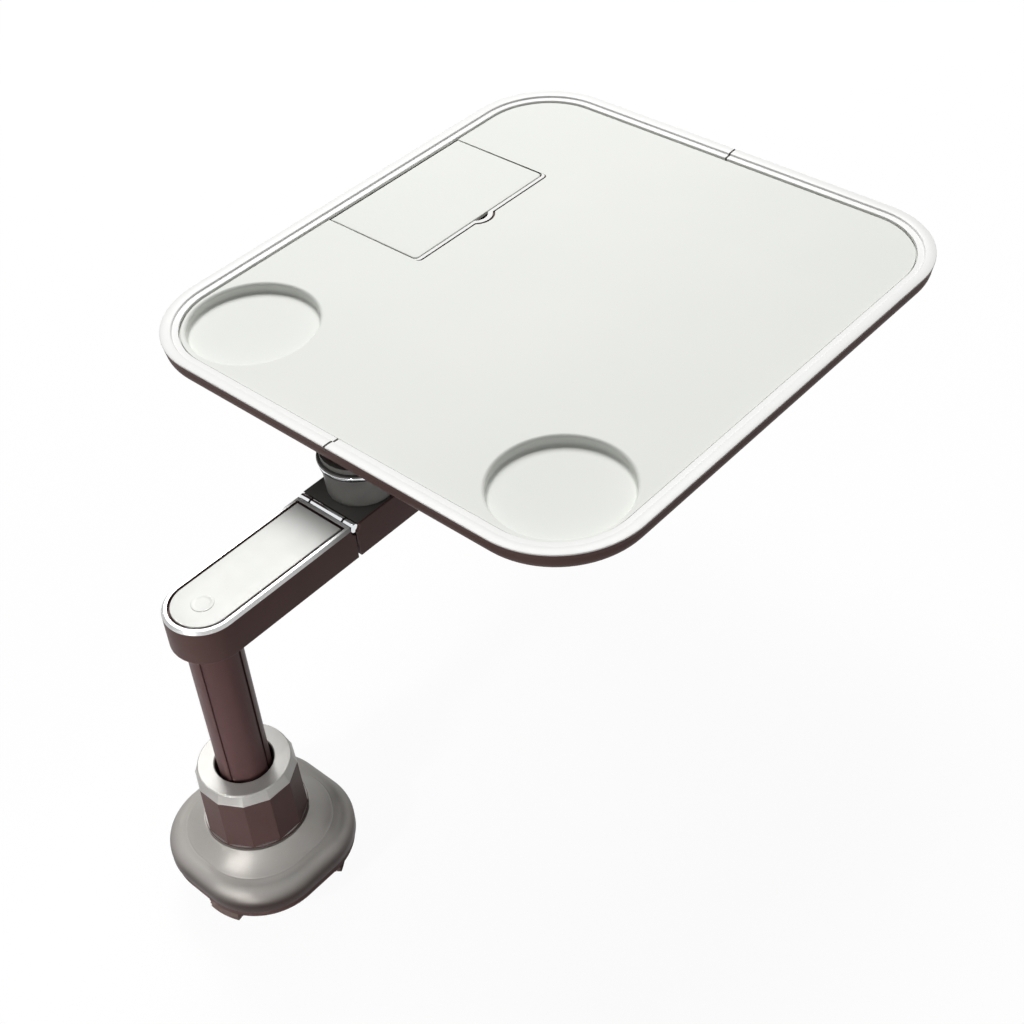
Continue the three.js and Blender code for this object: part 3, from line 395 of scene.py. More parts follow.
# Glass-filled nylon: dark and a little warm, with a rougher spark texture that shows near by.
dark_nylon = finish("dark_filled_nylon", "#604D4A", "#54423F", (0.48, 0.6), patch=25, grain=0.7, depth=0.02,
                    specular=0.08)
# The same plastic in the pan's lighter brown, a little smoother.
brown_nylon = finish("brown_filled_nylon", "#68534F", "#5D4A46", (0.42, 0.54), patch=40, grain=0.7,
                     depth=0.02, specular=0.08)
# Plain nylon washers: milky white and dull.
nylon = finish("natural_nylon", "#E2E0D8", "#D6D3C9", (0.5, 0.62), patch=10, grain=0.5, depth=0.008)
# Soft rubber: black-brown and dull, with a coarse skin. In the seams of the rim it is painted shade in
# the gaps.
rubber = finish("moulded_rubber", "#423D3B", "#353130", (0.75, 0.9), patch=12, grain=0.5, depth=0.04)
# The lighter brown rubber of the leg pads, dull in the same way.
pad_rubber = finish("brown_moulded_rubber", "#75645F", "#665651", (0.75, 0.9), patch=12, grain=0.5,
                    depth=0.04, specular=0.2)

# %% Coated aluminium
# Die-cast under a dark brown satin coat: soft broad highlights with a trace of metal flake.
dark_coat = finish("dark_coated_casting", "#634D4A", "#574340", (0.4, 0.5), metallic=0.05, patch=25,
                   grain=0.6, depth=0.01, specular=0.08)
# Die-cast under a neutral grey coat, as on the stand of the swivel, with the grain of the blast.
grey_coat = finish("grey_coated_casting", "#74736F", "#656461", (0.42, 0.54), metallic=0.15, patch=8,
                   grain=0.6, depth=0.03, specular=0.3)
# Extruded and dark anodised: the drawing lines run along the tube and stretch its highlights.
drawn_tube = finish("dark_anodised_tube", "#6A4F4D", "#5E4544", (0.36, 0.46), metallic=0.05, patch=12,
                    grain=0.5, depth=0.01, stretch=(1, 1, 0.02), specular=0.1)
# Bead-blasted under a clear coat: a warm silver grey with a soft sheen. On the skirt of the base the colour
# is painted dark brown, going back to silver up to its shoulder: painted shade on the skirt.
silver_coat = finish("silver_blasted_casting", "#ACA9A4", "#9E9B96", (0.4, 0.48), metallic=0.5, patch=30,
                     grain=0.6, depth=0.03, specular=0.1, painted_shade=(31, 41, "#3C302E"))
# The collar's metal on its faces that look up, lighter and a little smoother: painted light on one metal.
collar_painted_light_silver = finish("collar_painted_light_silver", "#BBBAB6", "#AEACA8", (0.4, 0.48), metallic=0.4, patch=20,
                       grain=0.6, depth=0.02, specular=0.3)
# Satin silver lacquer on the arm's cover: pale, and it mirrors the dark tray close to the hinge.
lacquer = finish("satin_silver_lacquer", "#E2E3DF", "#DCDDD9", (0.42, 0.46), metallic=0.05, patch=60,
                 grain=6, depth=0.0004, specular=0.2)

# %% Bright metals
# Aluminium cut by a diamond tool after coating: a narrow bright band along the edge.
cut_edge = finish("bright_cut_aluminium", "#CACBCA", "#BCBDBC", (0.34, 0.42), metallic=0.8, patch=20,
                  grain=0.4, depth=0.003)
# Polished chrome plate on the hinge and the swivel: almost a mirror, with slight waves.
chrome = finish("polished_chrome_plate", "#EDEFF1", "#E2E5E8", (0.06, 0.12), metallic=1.0, patch=15,
                grain=2, depth=0.003)
# Zinc-plated steel of screws and inserts: grey, with the marks of turning.
steel = finish("zinc_plated_steel", "#BDBEBF", "#A6A7A9", (0.28, 0.42), metallic=0.95, patch=6,
               grain=0.3, depth=0.006)
# Brass of the pivot bush: yellow, worn smooth.
brass = finish("turned_brass", "#C2A463", "#AB8D4E", (0.25, 0.38), metallic=1.0, patch=8, grain=0.3,
               depth=0.005)

# %% [markdown]
# ## Carried-over solids
# Pieces that hardly show, such as bolts, washers and the inside of the plug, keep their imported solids.
# A finer copy of each would cost faces that nobody sees. They only get the finish of the material slot
# that the record gives them.

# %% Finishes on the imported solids
SLOT_FINISH = {
    "pale_plastic": pale_abs, "white_plastic": white_abs, "dark_plastic": dark_nylon,
    "dark_aluminium": grey_coat, "silver_aluminium": silver_coat, "pale_aluminium": lacquer,
    "chrome": chrome, "steel": steel, "brass": brass, "nylon": nylon, "rubber": rubber,
}
for part in frame["record"]["subparts"]:
    solid = frame["nodes"][part["node"]]
    solid.data.materials.clear()
    solid.data.materials.append(SLOT_FINISH[part["material_slot"]])

# %% [markdown]
# ## Tray plate
# The plate is one pale moulding with two round recesses for cups and a bay for the flap. Boolean cuts
# would make them too, but would leave ragged faces round the cuts. Here the top is a flat face with two
# holes, and its outline goes in round the bay. Each recess is a turned skin that starts at the edge of
# its hole, so the rounded lip runs into the plate without a seam. The underside is closed the same way.

# %% Outline of the tray
TRAY_AT = (110.5, 0.0, 249.7)
PLATE_X = (-10.7, 319.7)
PLATE_HALF = 151.8
CORNER = 43.0


def corner_turns(steps):
    """Directions (cos a, sin a) round four corners, a quarter turn each, from +X on."""
    a = np.radians(90 * np.arange(4)[:, None] + np.linspace(0, 90, steps + 1)[None, :])
    return np.stack([np.cos(a), np.sin(a)], -1)


def tray_edge(steps=20):
    """The plate's edge, corner centre + 43 (cos a, sin a), and its outward directions (cos a, sin a)."""
    near, far = PLATE_X[0] + CORNER, PLATE_X[1] - CORNER
    side = PLATE_HALF - CORNER
    centres = np.array([[far, side], [near, side], [near, -side], [far, -side]])
    outward = corner_turns(steps)
    return (centres[:, None] + CORNER * outward).reshape(-1, 2), outward.reshape(-1, 2)


print("points round the tray:", len(tray_edge()[0]))

# %% Outline of the flap
FLAP_X = (129.8, 241.8)
FLAP_FRONT = 80.4
FLAP_CORNER = 3
NOTCH_X = 185.4
# The middle of the finger notch lies inside the front by this share of its radius, which sets its arc.
NOTCH_SINK, NOTCH_ARC = 0.62, (218.3, 321.7)


def flap_loop(front, side, back, notch=0.0):
    """Outline of the flap or its bay: a rectangle with two round corners and a round finger notch."""
    x0, x1 = FLAP_X[0] - side, FLAP_X[1] + side
    y0 = FLAP_FRONT - front
    middle = y0 + FLAP_CORNER
    parts = [[[x1, back], [x0, back]], bow((x0 + FLAP_CORNER, middle), FLAP_CORNER, 180, 270, 8)]
    if notch:
        parts.append(bow((NOTCH_X, y0 + NOTCH_SINK * notch), notch, *NOTCH_ARC, 24))
    parts.append(bow((x1 - FLAP_CORNER, middle), FLAP_CORNER, 270, 360, 8))
    return np.vstack(parts)


print("flap", round(FLAP_X[1] - FLAP_X[0], 1), "mm wide")

# %% Recesses for cups
CUPS = ((31.4, 110.9), (31.4, -110.9))
CUP_RADIUS, CUP_DEPTH, CUP_LIP = 37.2, 6.0, 2.0
DISH_RADIUS, DISH_UNDER = 38.8, -7.6
PLATE_UNDER = -2.0
lip_edge = CUP_RADIUS + CUP_LIP
hole = lip_edge + 0.2
recess = np.vstack([
    [[hole, 0]],
    bow((lip_edge, -CUP_LIP), CUP_LIP, 90, 180, 10),
    softened([[CUP_RADIUS, -CUP_LIP], [CUP_RADIUS, -CUP_DEPTH], [0, -CUP_DEPTH]], 1.8, 8)[1:],
])
dish_under = softened([[DISH_RADIUS, PLATE_UNDER], [DISH_RADIUS, DISH_UNDER], [0, DISH_UNDER]], 3.0, 5)
print("recess", 2 * CUP_RADIUS, "mm wide and", CUP_DEPTH, "mm deep")

# %% Edge of the plate and of the bay
BAY_BACK, BAY_GAP, BAY_NOTCH = 150.0, 0.8, 7.0
# The plate ends in a groove beside the rim and goes on below it as a thin flange.
edge_profile = softened([[-1.2, 0], [-0.9, 0], [-0.9, -1.7], [1.5, -1.7], [1.5, PLATE_UNDER]], 0.12, 2)
# Along the front of the bay: a fine groove, painted dark as shade, a white strip and the wall. Its sides
# are a plain wall.
bay_front = np.array([(3.95, 0.0), (3.85, -0.8), (2.95, -0.8), (2.85, -0.05), (0.6, -0.25)]
                     + [(0.6, PLATE_UNDER)] * (len(edge_profile) - 5))
bay_side = np.interp(np.arange(len(bay_front)), [0, 4, 5], [0, -0.25, PLATE_UNDER])


def plate_row(edge_point, front_point, side_z):
    """One level of the plate: the tray's edge moved out, going in round the bay on its way."""
    edge, outward = tray_edge()
    corner = len(edge) // 4
    outline = np.column_stack([edge + edge_point[0] * outward, np.full(len(edge), edge_point[1])])
    loop = flap_loop(front_point[0], BAY_GAP, BAY_BACK, BAY_NOTCH + front_point[0])
    loop = np.vstack([loop[:1], loop[2:][::-1], loop[1:2]])
    bay = np.column_stack([loop, np.r_[side_z, np.full(len(loop) - 2, front_point[1]), side_z]])
    mouth = np.array([[x, PLATE_HALF + edge_point[0], edge_point[1]] for x in loop[[0, -1], 0]])
    return np.vstack([outline[:corner], mouth[:1], bay, mouth[1:], outline[corner:]])


plate_rows = np.stack([plate_row(*level) for level in zip(edge_profile, bay_front, bay_side)])
print("levels and points of the plate's edge:", plate_rows.shape[:2])

# %% Plate
# The front of the bay, with its notch, lies within these distances of the middle of the flap's front.
FRONT_DEEP, FRONT_HALF = 9, 58
front_shade_and_strip_mask = np.abs(plate_rows[0, :, 1] - FLAP_FRONT) < FRONT_DEEP
front_shade_and_strip_mask &= np.abs(plate_rows[0, :, 0] - NOTCH_X) < FRONT_HALF
# The groove takes the dark plastic: painted shade in the pale plate. The strip takes the white plastic.
bay_tones_with_painted_shade = np.r_[2, 2, 2, 1, np.zeros(len(plate_rows) - 5)].astype(int)
plate = joined(
    panel([plate_rows[0][:, :2], *[circle(c, hole) for c in CUPS]], 0.0),
    panel([plate_rows[-1][:, :2], *[circle(c, DISH_RADIUS) for c in CUPS]], PLATE_UNDER),
    skin(plate_rows, lids=False, tone=bay_tones_with_painted_shade[:, None] * front_shade_and_strip_mask[None, :]),
    *[turned(recess, centre=c, lids=False) for c in CUPS],
    *[turned(dish_under, centre=c, lids=False) for c in CUPS],
)
make_piece("plate", plate, "tray", [pale_abs, white_abs, dark_nylon],
           ("tray_plate", "cup_dish_left", "cup_dish_right"), TRAY_AT, sharp=20)

# %% [markdown]
# ## Flap
# The flap over the compartment is a thin lid with a softened upper edge, rolled round its rod at the
# back. A box with a Bevel modifier would come close. But the gap round the lid has to be even, so the
# lid takes the outline of its bay, without the notch, and carries it up a rounded profile. The roll is
# a rod along X.

# %% Lid and roll
FLAP_BACK = 149.4
LID_GAP = 0.15
ROLL_RADIUS, ROLL_Z = 1.98, -2.0


def rod_along(axis, radius, low, high, centre=(0, 0, 0)):
    """A rod along X or Y: rings of one radius at steps along the axis, with softened ends."""
    run = softened([[0, low], [radius, low], [radius, high], [0, high]], 0.3, 3)
    points, *faces = turned(run, 40)
    order = [2, 0, 1] if axis == "x" else [1, 2, 0]
    return points[:, order] + np.asarray(centre), *faces


lid_profile = softened([[0, -1.9], [0, 0], [-4, 0]], 0.7, 5)
lid_loops = np.stack([flap_loop(out, out - LID_GAP, FLAP_BACK) for out in lid_profile[:, 0]])
lid = joined(skin(raised(lid_loops, lid_profile[:, 1])),
             rod_along("x", ROLL_RADIUS, *FLAP_X, (0, FLAP_BACK, ROLL_Z)))
make_piece("flap", lid, "flap", [pale_abs], ("flap_lid",), TRAY_AT)

# %% [markdown]
# ## Rim
# The white rim has a flat top and a low flat ledge inside it, with a steep step between the two. Its
# outer side is dark, like the pan below it. It comes in two halves, which meet in the middle of the two
# short sides. A curve with a bevel profile would follow the edge too. But a profile carried along half
# of the edge has square ends at the seams, and a tone for each of its strips.

# %% Two halves of the rim
SEAM = 0.65
rim_profile = softened([
    [6.4, -0.8], [0.05, -0.8], [0.1, 1.15], [3.6, 1.3], [4.1, 2.35], [7.2, 2.76], [10.2, 2.6],
    [10.2, 1.9], [9.7, 1.8], [9.7, -0.8], [6.4, -0.8],
], [0.05, 0.12, 0.15, 0.4, 2.0, 0.3, 0.1, 0.1, 0.1], 3)[:-1]
# The dark side starts under the bead: outside this outset and below this height.
SIDE_OUT, BEAD_LOW = 9.65, 1.87
rim_tones = ((rim_profile[:, 0] > SIDE_OUT) & (rim_profile[:, 1] < BEAD_LOW)).astype(int)


def carried(foot, out, profile, **how):
    """Carries a profile (outset, z) along a line of feet: foot + outset x outward."""
    flat = foot[:, None] + out[:, None] * profile[None, :, :1]
    level = np.broadcast_to(profile[None, :, 1:], flat.shape[:2] + (1,))
    return skin(np.concatenate([flat, level], -1), **how)


def rim_half(way):
    """The feet and outward directions along the edge on one side of the seams."""
    edge, outward = tray_edge(28)
    count = len(edge) // 2
    own = slice(0, count) if way > 0 else slice(count, None)
    ends = np.array([[PLATE_X[1], SEAM], [PLATE_X[0], SEAM]])[::way] * [1, way]
    out = np.array([[1.0, 0], [-1, 0]])[::way]
    return np.vstack([ends[:1], edge[own], ends[1:]]), np.vstack([out[:1], outward[own], out[1:]])


for name, node, way in (("rim_far", "rim_left", 1), ("rim_near", "rim_right", -1)):
    half = carried(*rim_half(way), rim_profile, tone=rim_tones)
    make_piece(name, half, "tray", [white_abs, brown_nylon], (node,), TRAY_AT, sharp=25)

# %% [markdown]
# ## Tongues in the seams
# A dark tongue sits in the gap between the halves of the rim at each seam, and shows as a fine dark line
# across the rim: a dark piece as painted shade in the gap. A dark stripe in the rim's finish would show the
# same line, but the seam is a real gap. So the tongue is the rim's own profile, a little smaller, carried
# across the gap.

# %% Tongues in the seams
TONGUE_HALF = 1.5
TONGUE_SCALE, TONGUE_OUT = [0.96, 0.92], [0.2, 0.0]
tongue_profile = rim_profile * TONGUE_SCALE + TONGUE_OUT
tongues = joined(*[
    carried(np.array([[x, -way * TONGUE_HALF], [x, way * TONGUE_HALF]]), np.array([[way, 0.0]] * 2),
            tongue_profile)
    for x, way in ((PLATE_X[1], 1), (PLATE_X[0], -1))])
make_piece("rim_seam_shade_tongues", tongues, "tray", [rubber], (), TRAY_AT)

# %% [markdown]
# ## Pan
# The dark pan closes the tray from below, with a rounded edge under the rim. The Solidify modifier
# could give a thin skin its wall, but this wall gets thinner towards its top. So the pan is a shell
# whose profile runs out along the bottom, up the side, over the wall and down to the inner floor.

# %% Pan shell
PAN_UNDER, PAN_FLOOR, PAN_TOP = -10.4, -8.8, -1.2
PAN_SIDE, PAN_INNER = 9.1, -30
# The lower edge is a quarter circle.
ROUND, ROUND_AT = 7, (2.1, -3.4)


def tray_rows(profile):
    """Carries (outset, z) points round the tray: each row is the edge moved out by its outset."""
    edge, outward = tray_edge()
    outset, z = np.asarray(profile, float).T
    return raised(edge[None] + outset[:, None, None] * outward[None], z)


q = np.radians(np.linspace(0, 90, 10))
pan_profile = np.vstack([
    [[PAN_INNER, PAN_UNDER]],
    np.column_stack([ROUND_AT[0] + ROUND * np.sin(q), ROUND_AT[1] - ROUND * np.cos(q)]),
    softened([[PAN_SIDE, ROUND_AT[1]], [PAN_SIDE, PAN_TOP], [7.4, PAN_TOP], [5.0, PAN_FLOOR],
              [PAN_INNER, PAN_FLOOR]], [0.3, 0.3, 1.0], 3)[1:],
])
pan = skin(tray_rows(pan_profile))
make_piece("pan", pan, "tray", [brown_nylon], ("tray_pan",), TRAY_AT)

# %% [markdown]
# ## Arm
# The arm is a dark casting, round about the post and square at its hinge. Its upper edge is cut bright,
# and the top has a shallow pocket. A bevelled box with a cut pocket would do, but the bright bevel has
# to be even all the way round. So the outline is carried up one profile, which turns in at the top and
# goes down into the pocket. Near the hinge its end steps back from the barrel.

# %% Arm casting
ARM_AT = (0.0, 0.0, 190.3)
ARM_HALF, ARM_TOP, ARM_END = 20.5, 23.0, 84.0
POCKET_FLOOR, POCKET_END = 20.8, 80.3
HINGE = (85.0, 20.6)
BARREL_ROOM = 3.5
BEVEL_STEPS = 6


def arm_rows(inset, z, end):
    """Outline of the arm: half a circle about the post and a straight end, set in by an inset."""
    inset, z, end = np.broadcast_arrays(*[np.asarray(v, float) for v in (inset, z, end)])
    half = ARM_HALF - inset
    a = np.radians(np.linspace(90, 270, 61))
    x = np.column_stack([end, end, np.outer(half, np.cos(a))])
    y = np.column_stack([-half, half, np.outer(half, np.sin(a))])
    return raised(np.stack([x, y], -1), z)


def clear_of_barrel(z, radius, plain):
    """End of a block beside the barrel: its plain end, or the barrel's edge sqrt(r^2 - h^2) if nearer."""
    h = np.clip(np.abs(z - HINGE[1]), 0, radius)
    return np.minimum(plain, HINGE[0] - np.sqrt(radius ** 2 - h ** 2))


inset, z = np.vstack([
    softened([[6, 0], [1.5, 0], [0, 1.5], [0, 16.8]], 0.5, 3),
    np.column_stack([np.zeros(14), np.linspace(17.2, 21.5, 14)]),
    np.column_stack([np.linspace(0.15, 1.5, BEVEL_STEPS), np.linspace(21.65, ARM_TOP, BEVEL_STEPS)]),
]).T
outer = arm_rows(inset, z, clear_of_barrel(z, BARREL_ROOM, ARM_END - inset))
# The pocket: its edge, the foot of its wall, and its floor.
inner = arm_rows([3, 3, 6], [ARM_TOP, POCKET_FLOOR, POCKET_FLOOR], [POCKET_END, POCKET_END, 77])
bright = BEVEL_STEPS + 1
arm_tones = np.r_[np.zeros(len(z) - bright), np.ones(bright), np.zeros(2)].astype(int)
arm = skin(np.concatenate([outer, inner]), tone=arm_tones[:, None])
make_piece("arm", arm, "arm", [dark_coat, cut_edge], ("arm_housing",), ARM_AT, sharp=25)

# %% [markdown]
# ## Cover and pivot cap
# A pale cover lies in the arm's pocket with a dark line round it, and a low button closes the pivot.
# The cover could be a plate of its own shape. Here it takes the arm's outline, set in further than the
# pocket, so the line round it has one width. The button is turned.

# %% Cover and pivot cap
COVER_INSET, COVER_END, COVER_UNDER = 4.4, 78.9, 21.1
inset, z = softened([[8, COVER_UNDER], [0, COVER_UNDER], [0, ARM_TOP], [8, ARM_TOP]], 0.35, 4).T
cover = skin(arm_rows(COVER_INSET + inset, z, COVER_END - inset))
make_piece("arm_lid", cover, "arm", [lacquer], ("arm_cover",), ARM_AT)
button = softened([[0, 20.9], [5.9, 20.9], [5.9, 23.28], [4.7, 23.26], [3.8, 23.1], [0, 23.1]],
                  [0.1, 0.3, 0.5, 0.4], 4)
make_piece("pivot_button", turned(button, 64), "arm", [lacquer], ("pivot_cap",), ARM_AT)

# %% [markdown]
# ## Hinge
# Three bright barrels on one pin join the arm and the link. The middle barrel belongs to the arm and
# the outer two to the link, each with a leaf let into its block. Cylinders from the menu would do, but
# softened ends catch the light as real barrels do. So barrels are rods along Y, and leaves are plates.

# %% Barrels and leaves
HINGE_AT = (85.0, 0.0, 210.9)
BARREL = 2.6
MIDDLE_HALF = 11.5
OUTER_IN, OUTER_OUT = 12.7, 19.5
LEAF_FOOT = -12


def leaf(x0, x1, half, top):
    """A leaf: a rectangle in Y and Z carried from x0 to x1."""
    y = np.array([-half, half, half, -half])
    z = np.array([LEAF_FOOT, LEAF_FOOT, top, top])
    return skin([np.column_stack([np.full(4, x), y, z]) for x in (x0, x1)])


middle_barrel = joined(rod_along("y", BARREL, -MIDDLE_HALF, MIDDLE_HALF),
                       leaf(-2.2, -0.6, MIDDLE_HALF, -1.5))
outer_barrels = joined(rod_along("y", BARREL, -OUTER_OUT, -OUTER_IN),
                       rod_along("y", BARREL, OUTER_IN, OUTER_OUT),
                       leaf(0.6, 2.2, OUTER_OUT, -2.9))
make_piece("middle_knuckle", middle_barrel, "arm", [chrome], ("arm_hinge_leaf",), HINGE_AT)
make_piece("outer_knuckles", outer_barrels, "link", [chrome], ("link_hinge_leaf", "hinge_pin"),
           HINGE_AT)

# %% [markdown]
# ## Link
# The link is a short dark block between the hinge and the tray, with a grey top. It could be a bevelled
# box, but its end has to step back round the barrels. So it is an outline carried upward, and each
# level has a start of its own.

# %% Link block
LINK_HALF, LINK_END, LINK_CORNER = 20.5, 57, 10
LINK_START, LINK_ROOM = 1.0, 3.0
# Below this height the block's edge is softened, and its start is set in like its sides.
LOWER_EDGE = -10


def link_rows(inset, z, start):
    """Outline of the link: square at the hinge, with two round corners at its far end."""
    inset, z, start = np.broadcast_arrays(*[np.asarray(v, float) for v in (inset, z, start)])
    half, end, radius = LINK_HALF - inset, LINK_END - inset, LINK_CORNER - inset
    a = np.radians(np.linspace(0, 90, 13))
    c, s = np.outer(radius, np.cos(a)), np.outer(radius, np.sin(a))
    far, side = (end - radius)[:, None], (half - radius)[:, None]
    x = np.column_stack([start, far + s, far + c, start])
    y = np.column_stack([-half, -side - c, side + s, half])
    return raised(np.stack([x, y], -1), z)


inset, z = np.vstack([
    softened([[5, -20.6], [1.5, -20.6], [0, -19.1], [0, -3.2]], 0.5, 3),
    np.column_stack([np.zeros(14), np.linspace(-3.0, 1.8, 14)]),
    [[0.6, 2.4], [5, 2.4]],
]).T
step_back = np.sqrt(np.clip(LINK_ROOM ** 2 - z ** 2, 0, None))
starts = np.maximum(LINK_START + inset * (z < LOWER_EDGE), step_back)
link_tones = np.r_[np.zeros(len(z) - 2), 1].astype(int)
link = skin(link_rows(inset, z, starts), tone=link_tones[:, None])
make_piece("link", link, "link", [dark_coat, grey_coat], ("link_block",), HINGE_AT,
           sharp=25)

# %% [markdown]
# ## Swivel
# A flared stand on the link carries a bright ring, on which the tray turns, and a cap closes the bolt
# from below. All three are round. They could be spun in edit mode, but here each is a softened profile
# that is turned, so a radius can be changed later.

# %% Stand, ring and cap below
SWIVEL_AT = (110.5, 0.0, 213.3)
stand = softened([[0, 0.3], [18.8, 0.3], [19.4, 12.8], [20.1, 16], [21, 18.8], [0, 18.8]],
                 [0.4, 6, 2, 0.3], 6)
make_piece("swivel_stand", turned(stand), "link", [grey_coat], ("swivel_cone",), SWIVEL_AT)
ring = softened([[6, 20.2], [17, 20.2], [21, 19.4], [21.6, 21.3], [21, 22.4], [6, 22.4]],
                [0.4, 0.5, 0.6, 0.4], 5)
ring = np.vstack([ring, ring[:1]])
# Above this height the ring is grey, where it meets the tray.
RING_BRIGHT = 21.5
ring_tones = (ring[:-1, 1] > RING_BRIGHT).astype(int)
make_piece("bright_ring", turned(ring, lids=False, tone=ring_tones[:, None]), "tray", [chrome, grey_coat],
           ("swivel_ring",), SWIVEL_AT)
under_cap = softened([[0, -22.7], [7.7, -22.7], [7.7, -20.7], [0, -20.7]], 0.4, 4)
make_piece("under_cap", turned(under_cap, 64), "link", [dark_nylon], ("access_cap",),
           SWIVEL_AT)

# %% [markdown]
# ## Post
# The post is a drawn tube with four long grooves. They could be cut out of a cylinder, but the section
# is the same at every height. So the outline follows the circle, drops into each groove, and is carried
# straight up.

# %% Grooved tube
POST_RADIUS, POST_Z = 14.2, (10.7, 188.7)
GROOVE_HALF, GROOVE_FLOOR, GROOVE_TURN = 0.9, 13.3, 22.5
groove = np.degrees(GROOVE_HALF / POST_RADIUS)
sweep = np.linspace(groove, 90 - groove, 25)
turn = np.radians(GROOVE_TURN + 90 * np.arange(4)[:, None] + np.r_[-groove, groove, sweep][None, :])
reach = np.r_[GROOVE_FLOOR, GROOVE_FLOOR, np.full(len(sweep), POST_RADIUS)]
outline = np.stack([reach * np.cos(turn), reach * np.sin(turn)], -1).reshape(-1, 2)
tube = skin(raised(np.stack([outline, outline]), POST_Z))
make_piece("post", tube, "base", [drawn_tube], ("post_tube",))

# %% [markdown]
# ## Collar
# Turning the collar drives the legs of the plug. It has twelve flats between a round foot and a wide
# chamfer. A cylinder with twelve sides couldn't meet the round foot and top, so each level has radii of
# its own. On a flat the radius is R cos 15 / cos a, with a counted from the middle of the flat. The
# chamfer starts from the same twelve-sided line and ends in a circle.

# %% Collar with flats
COLLAR_AT = (0.0, 0.0, 51.8)
FLATS, FLAT_STEPS = 12, 16
whole_flat, half_flat = np.radians([30, 15])
a = np.linspace(0, 2 * np.pi, FLATS * FLAT_STEPS, endpoint=False)
flat = np.cos(half_flat) / np.cos((a + half_flat) % whole_flat - half_flat)
full = np.ones_like(a)
radius = np.stack([16 * full, 27.9 * full, 28.6 * full, 28.6 * full, 28.3 * full, flat * 28.4,
                   flat * 27.6, flat * 27.3, 25.4 * full, 24.8 * full, 16.6 * full, 16 * full])
height = [0, 0, 0.6, 1.3, 1.6, 1.6, 35.4, 36.0, 41.4, 42, 42, 41.4]
collar_rows = raised(np.stack([radius * np.cos(a), radius * np.sin(a)], -1), height)
# Foot, flats and bore are dark, as painted shade. The step above the foot, the chamfer and the top are
# silver, as painted light. The collar is one metal.
collar_light_and_shade_tones = np.array([1, 1, 1, 1, 0, 1, 0, 0, 0, 0, 0, 1])
collar = skin(collar_rows, ring=True, tone=collar_light_and_shade_tones[:, None])
make_piece("grip_collar", collar, "collar", [collar_painted_light_silver, dark_coat], ("collar",),
           COLLAR_AT, sharp=12)

# %% [markdown]
# ## Base cap
# The cap is a soft square below and a circle above, with a hollow rise to the collar, a fine line round
# its shoulder and a dark foot. Subdividing a rough mesh would blend the two shapes, but it wouldn't
# keep their sizes. So each level of the profile is a rounded square whose corners grow into the circle
# as it is set in.

# %% Levels of the cap
BASE_AT = (0.0, 0.0, 21.3)
CAP_HALF, CAP_CORNER, HUB = 47.5, 37, 29.2


def cap_rows(profile, steps=24):
    """A rounded square at each inset: half = 47.5 - inset, corners from 37 mm to the hub's radius."""
    inset, z = np.asarray(profile, float).T
    half = CAP_HALF - inset
    grown = np.clip(inset / (CAP_HALF - HUB), 0, 1)
    corner = np.minimum(half, CAP_CORNER + (HUB - CAP_CORNER) * grown)
    sides = np.array([[1, 1], [-1, 1], [-1, -1], [1, -1]])
    flat = ((half - corner)[:, None, None, None] * sides[None, :, None]
            + corner[:, None, None, None] * corner_turns(steps)[None])
    return raised(flat.reshape(len(z), -1, 2), z)


print("cap", 2 * CAP_HALF, "mm wide, hub", 2 * HUB, "mm")

# %% Soft square cap
# The rise starts at the shoulder and gets steeper: 0.285 u + 0.0489 u^2, less a dip for the fine line.
RISE_AT, RISE_LENGTH = (5.93, 19.2), 12.37
LINE_AT, LINE_WIDTH, LINE_DEPTH = 3.2, 0.3, 0.16
q = np.radians(np.linspace(0, 75, 14))
u = np.linspace(0, RISE_LENGTH, 64)[1:]
rise = 0.285 * u + 0.0489 * u ** 2 - LINE_DEPTH * np.exp(-((u - LINE_AT) / LINE_WIDTH) ** 2)
foot_edge = [[2.8, 0], [1.6, 0], [1.2, 0.15], [0.9, 0.6], [0.9, 5.0]]
cap_profile = np.vstack([
    foot_edge, [[0.2, 5.3], [0.0, 5.8]],
    np.column_stack([8 * (1 - np.cos(q)), 11 + 8.5 * np.sin(q)]),
    np.column_stack([RISE_AT[0] + u, RISE_AT[1] + rise]),
    [[27, 30.2], [27, 27.4], [18, 16.7], [6, 16.7], [2.8, 11]],
])
cap_tones = (np.arange(len(cap_profile)) < len(foot_edge)).astype(int)
cap = skin(cap_rows(cap_profile), ring=True, tone=cap_tones[:, None])
# The silver coat's colour is painted darker on the skirt of the cap: painted shade.
make_piece("base_cover", cap, "base", [silver_coat, dark_nylon], ("base_cap",), BASE_AT)

# %% [markdown]
# ## Foot plate
# The plug ends in a round plate held by three screws. Their holes could be cut with booleans. Here two
# flat faces with holes are joined by turned walls, which leaves clean edges round the screws.

# %% Foot plate
FOOT_INNER, FOOT_OUTER, FOOT_THICK = 31.8, 33.6, 3.5
WELL = 3.3
FOOT_SCREWS = [29 * np.array([np.cos(t), np.sin(t)]) for t in np.radians([250, 130, 10])]
foot_side = softened([[FOOT_INNER, 0], [32.2, 0], [34, 1.8], [34, FOOT_THICK], [FOOT_OUTER, FOOT_THICK]],
                     0.5, 4)
wells = [circle(c, WELL, 48) for c in FOOT_SCREWS]
foot = joined(
    panel([circle((0, 0), FOOT_INNER), *wells], 0.0),
    panel([circle((0, 0), FOOT_OUTER), *wells], FOOT_THICK),
    turned(foot_side, lids=False),
    *[turned([[WELL, 0], [WELL, FOOT_THICK]], 48, c, lids=False) for c in FOOT_SCREWS],
)
make_piece("foot_cover", foot, "base", [dark_nylon], ("foot_plate",))

# %% [markdown]
# ## Leg pads
# Three legs grip the cup holder with ribbed rubber pads. Displacement could raise the ribs, but it
# would need a far finer mesh. So the ribs are in the radius of the pad's face, R + 0.4 cos(2 pi z /
# pitch), and the outline of the pad is carried up through them.

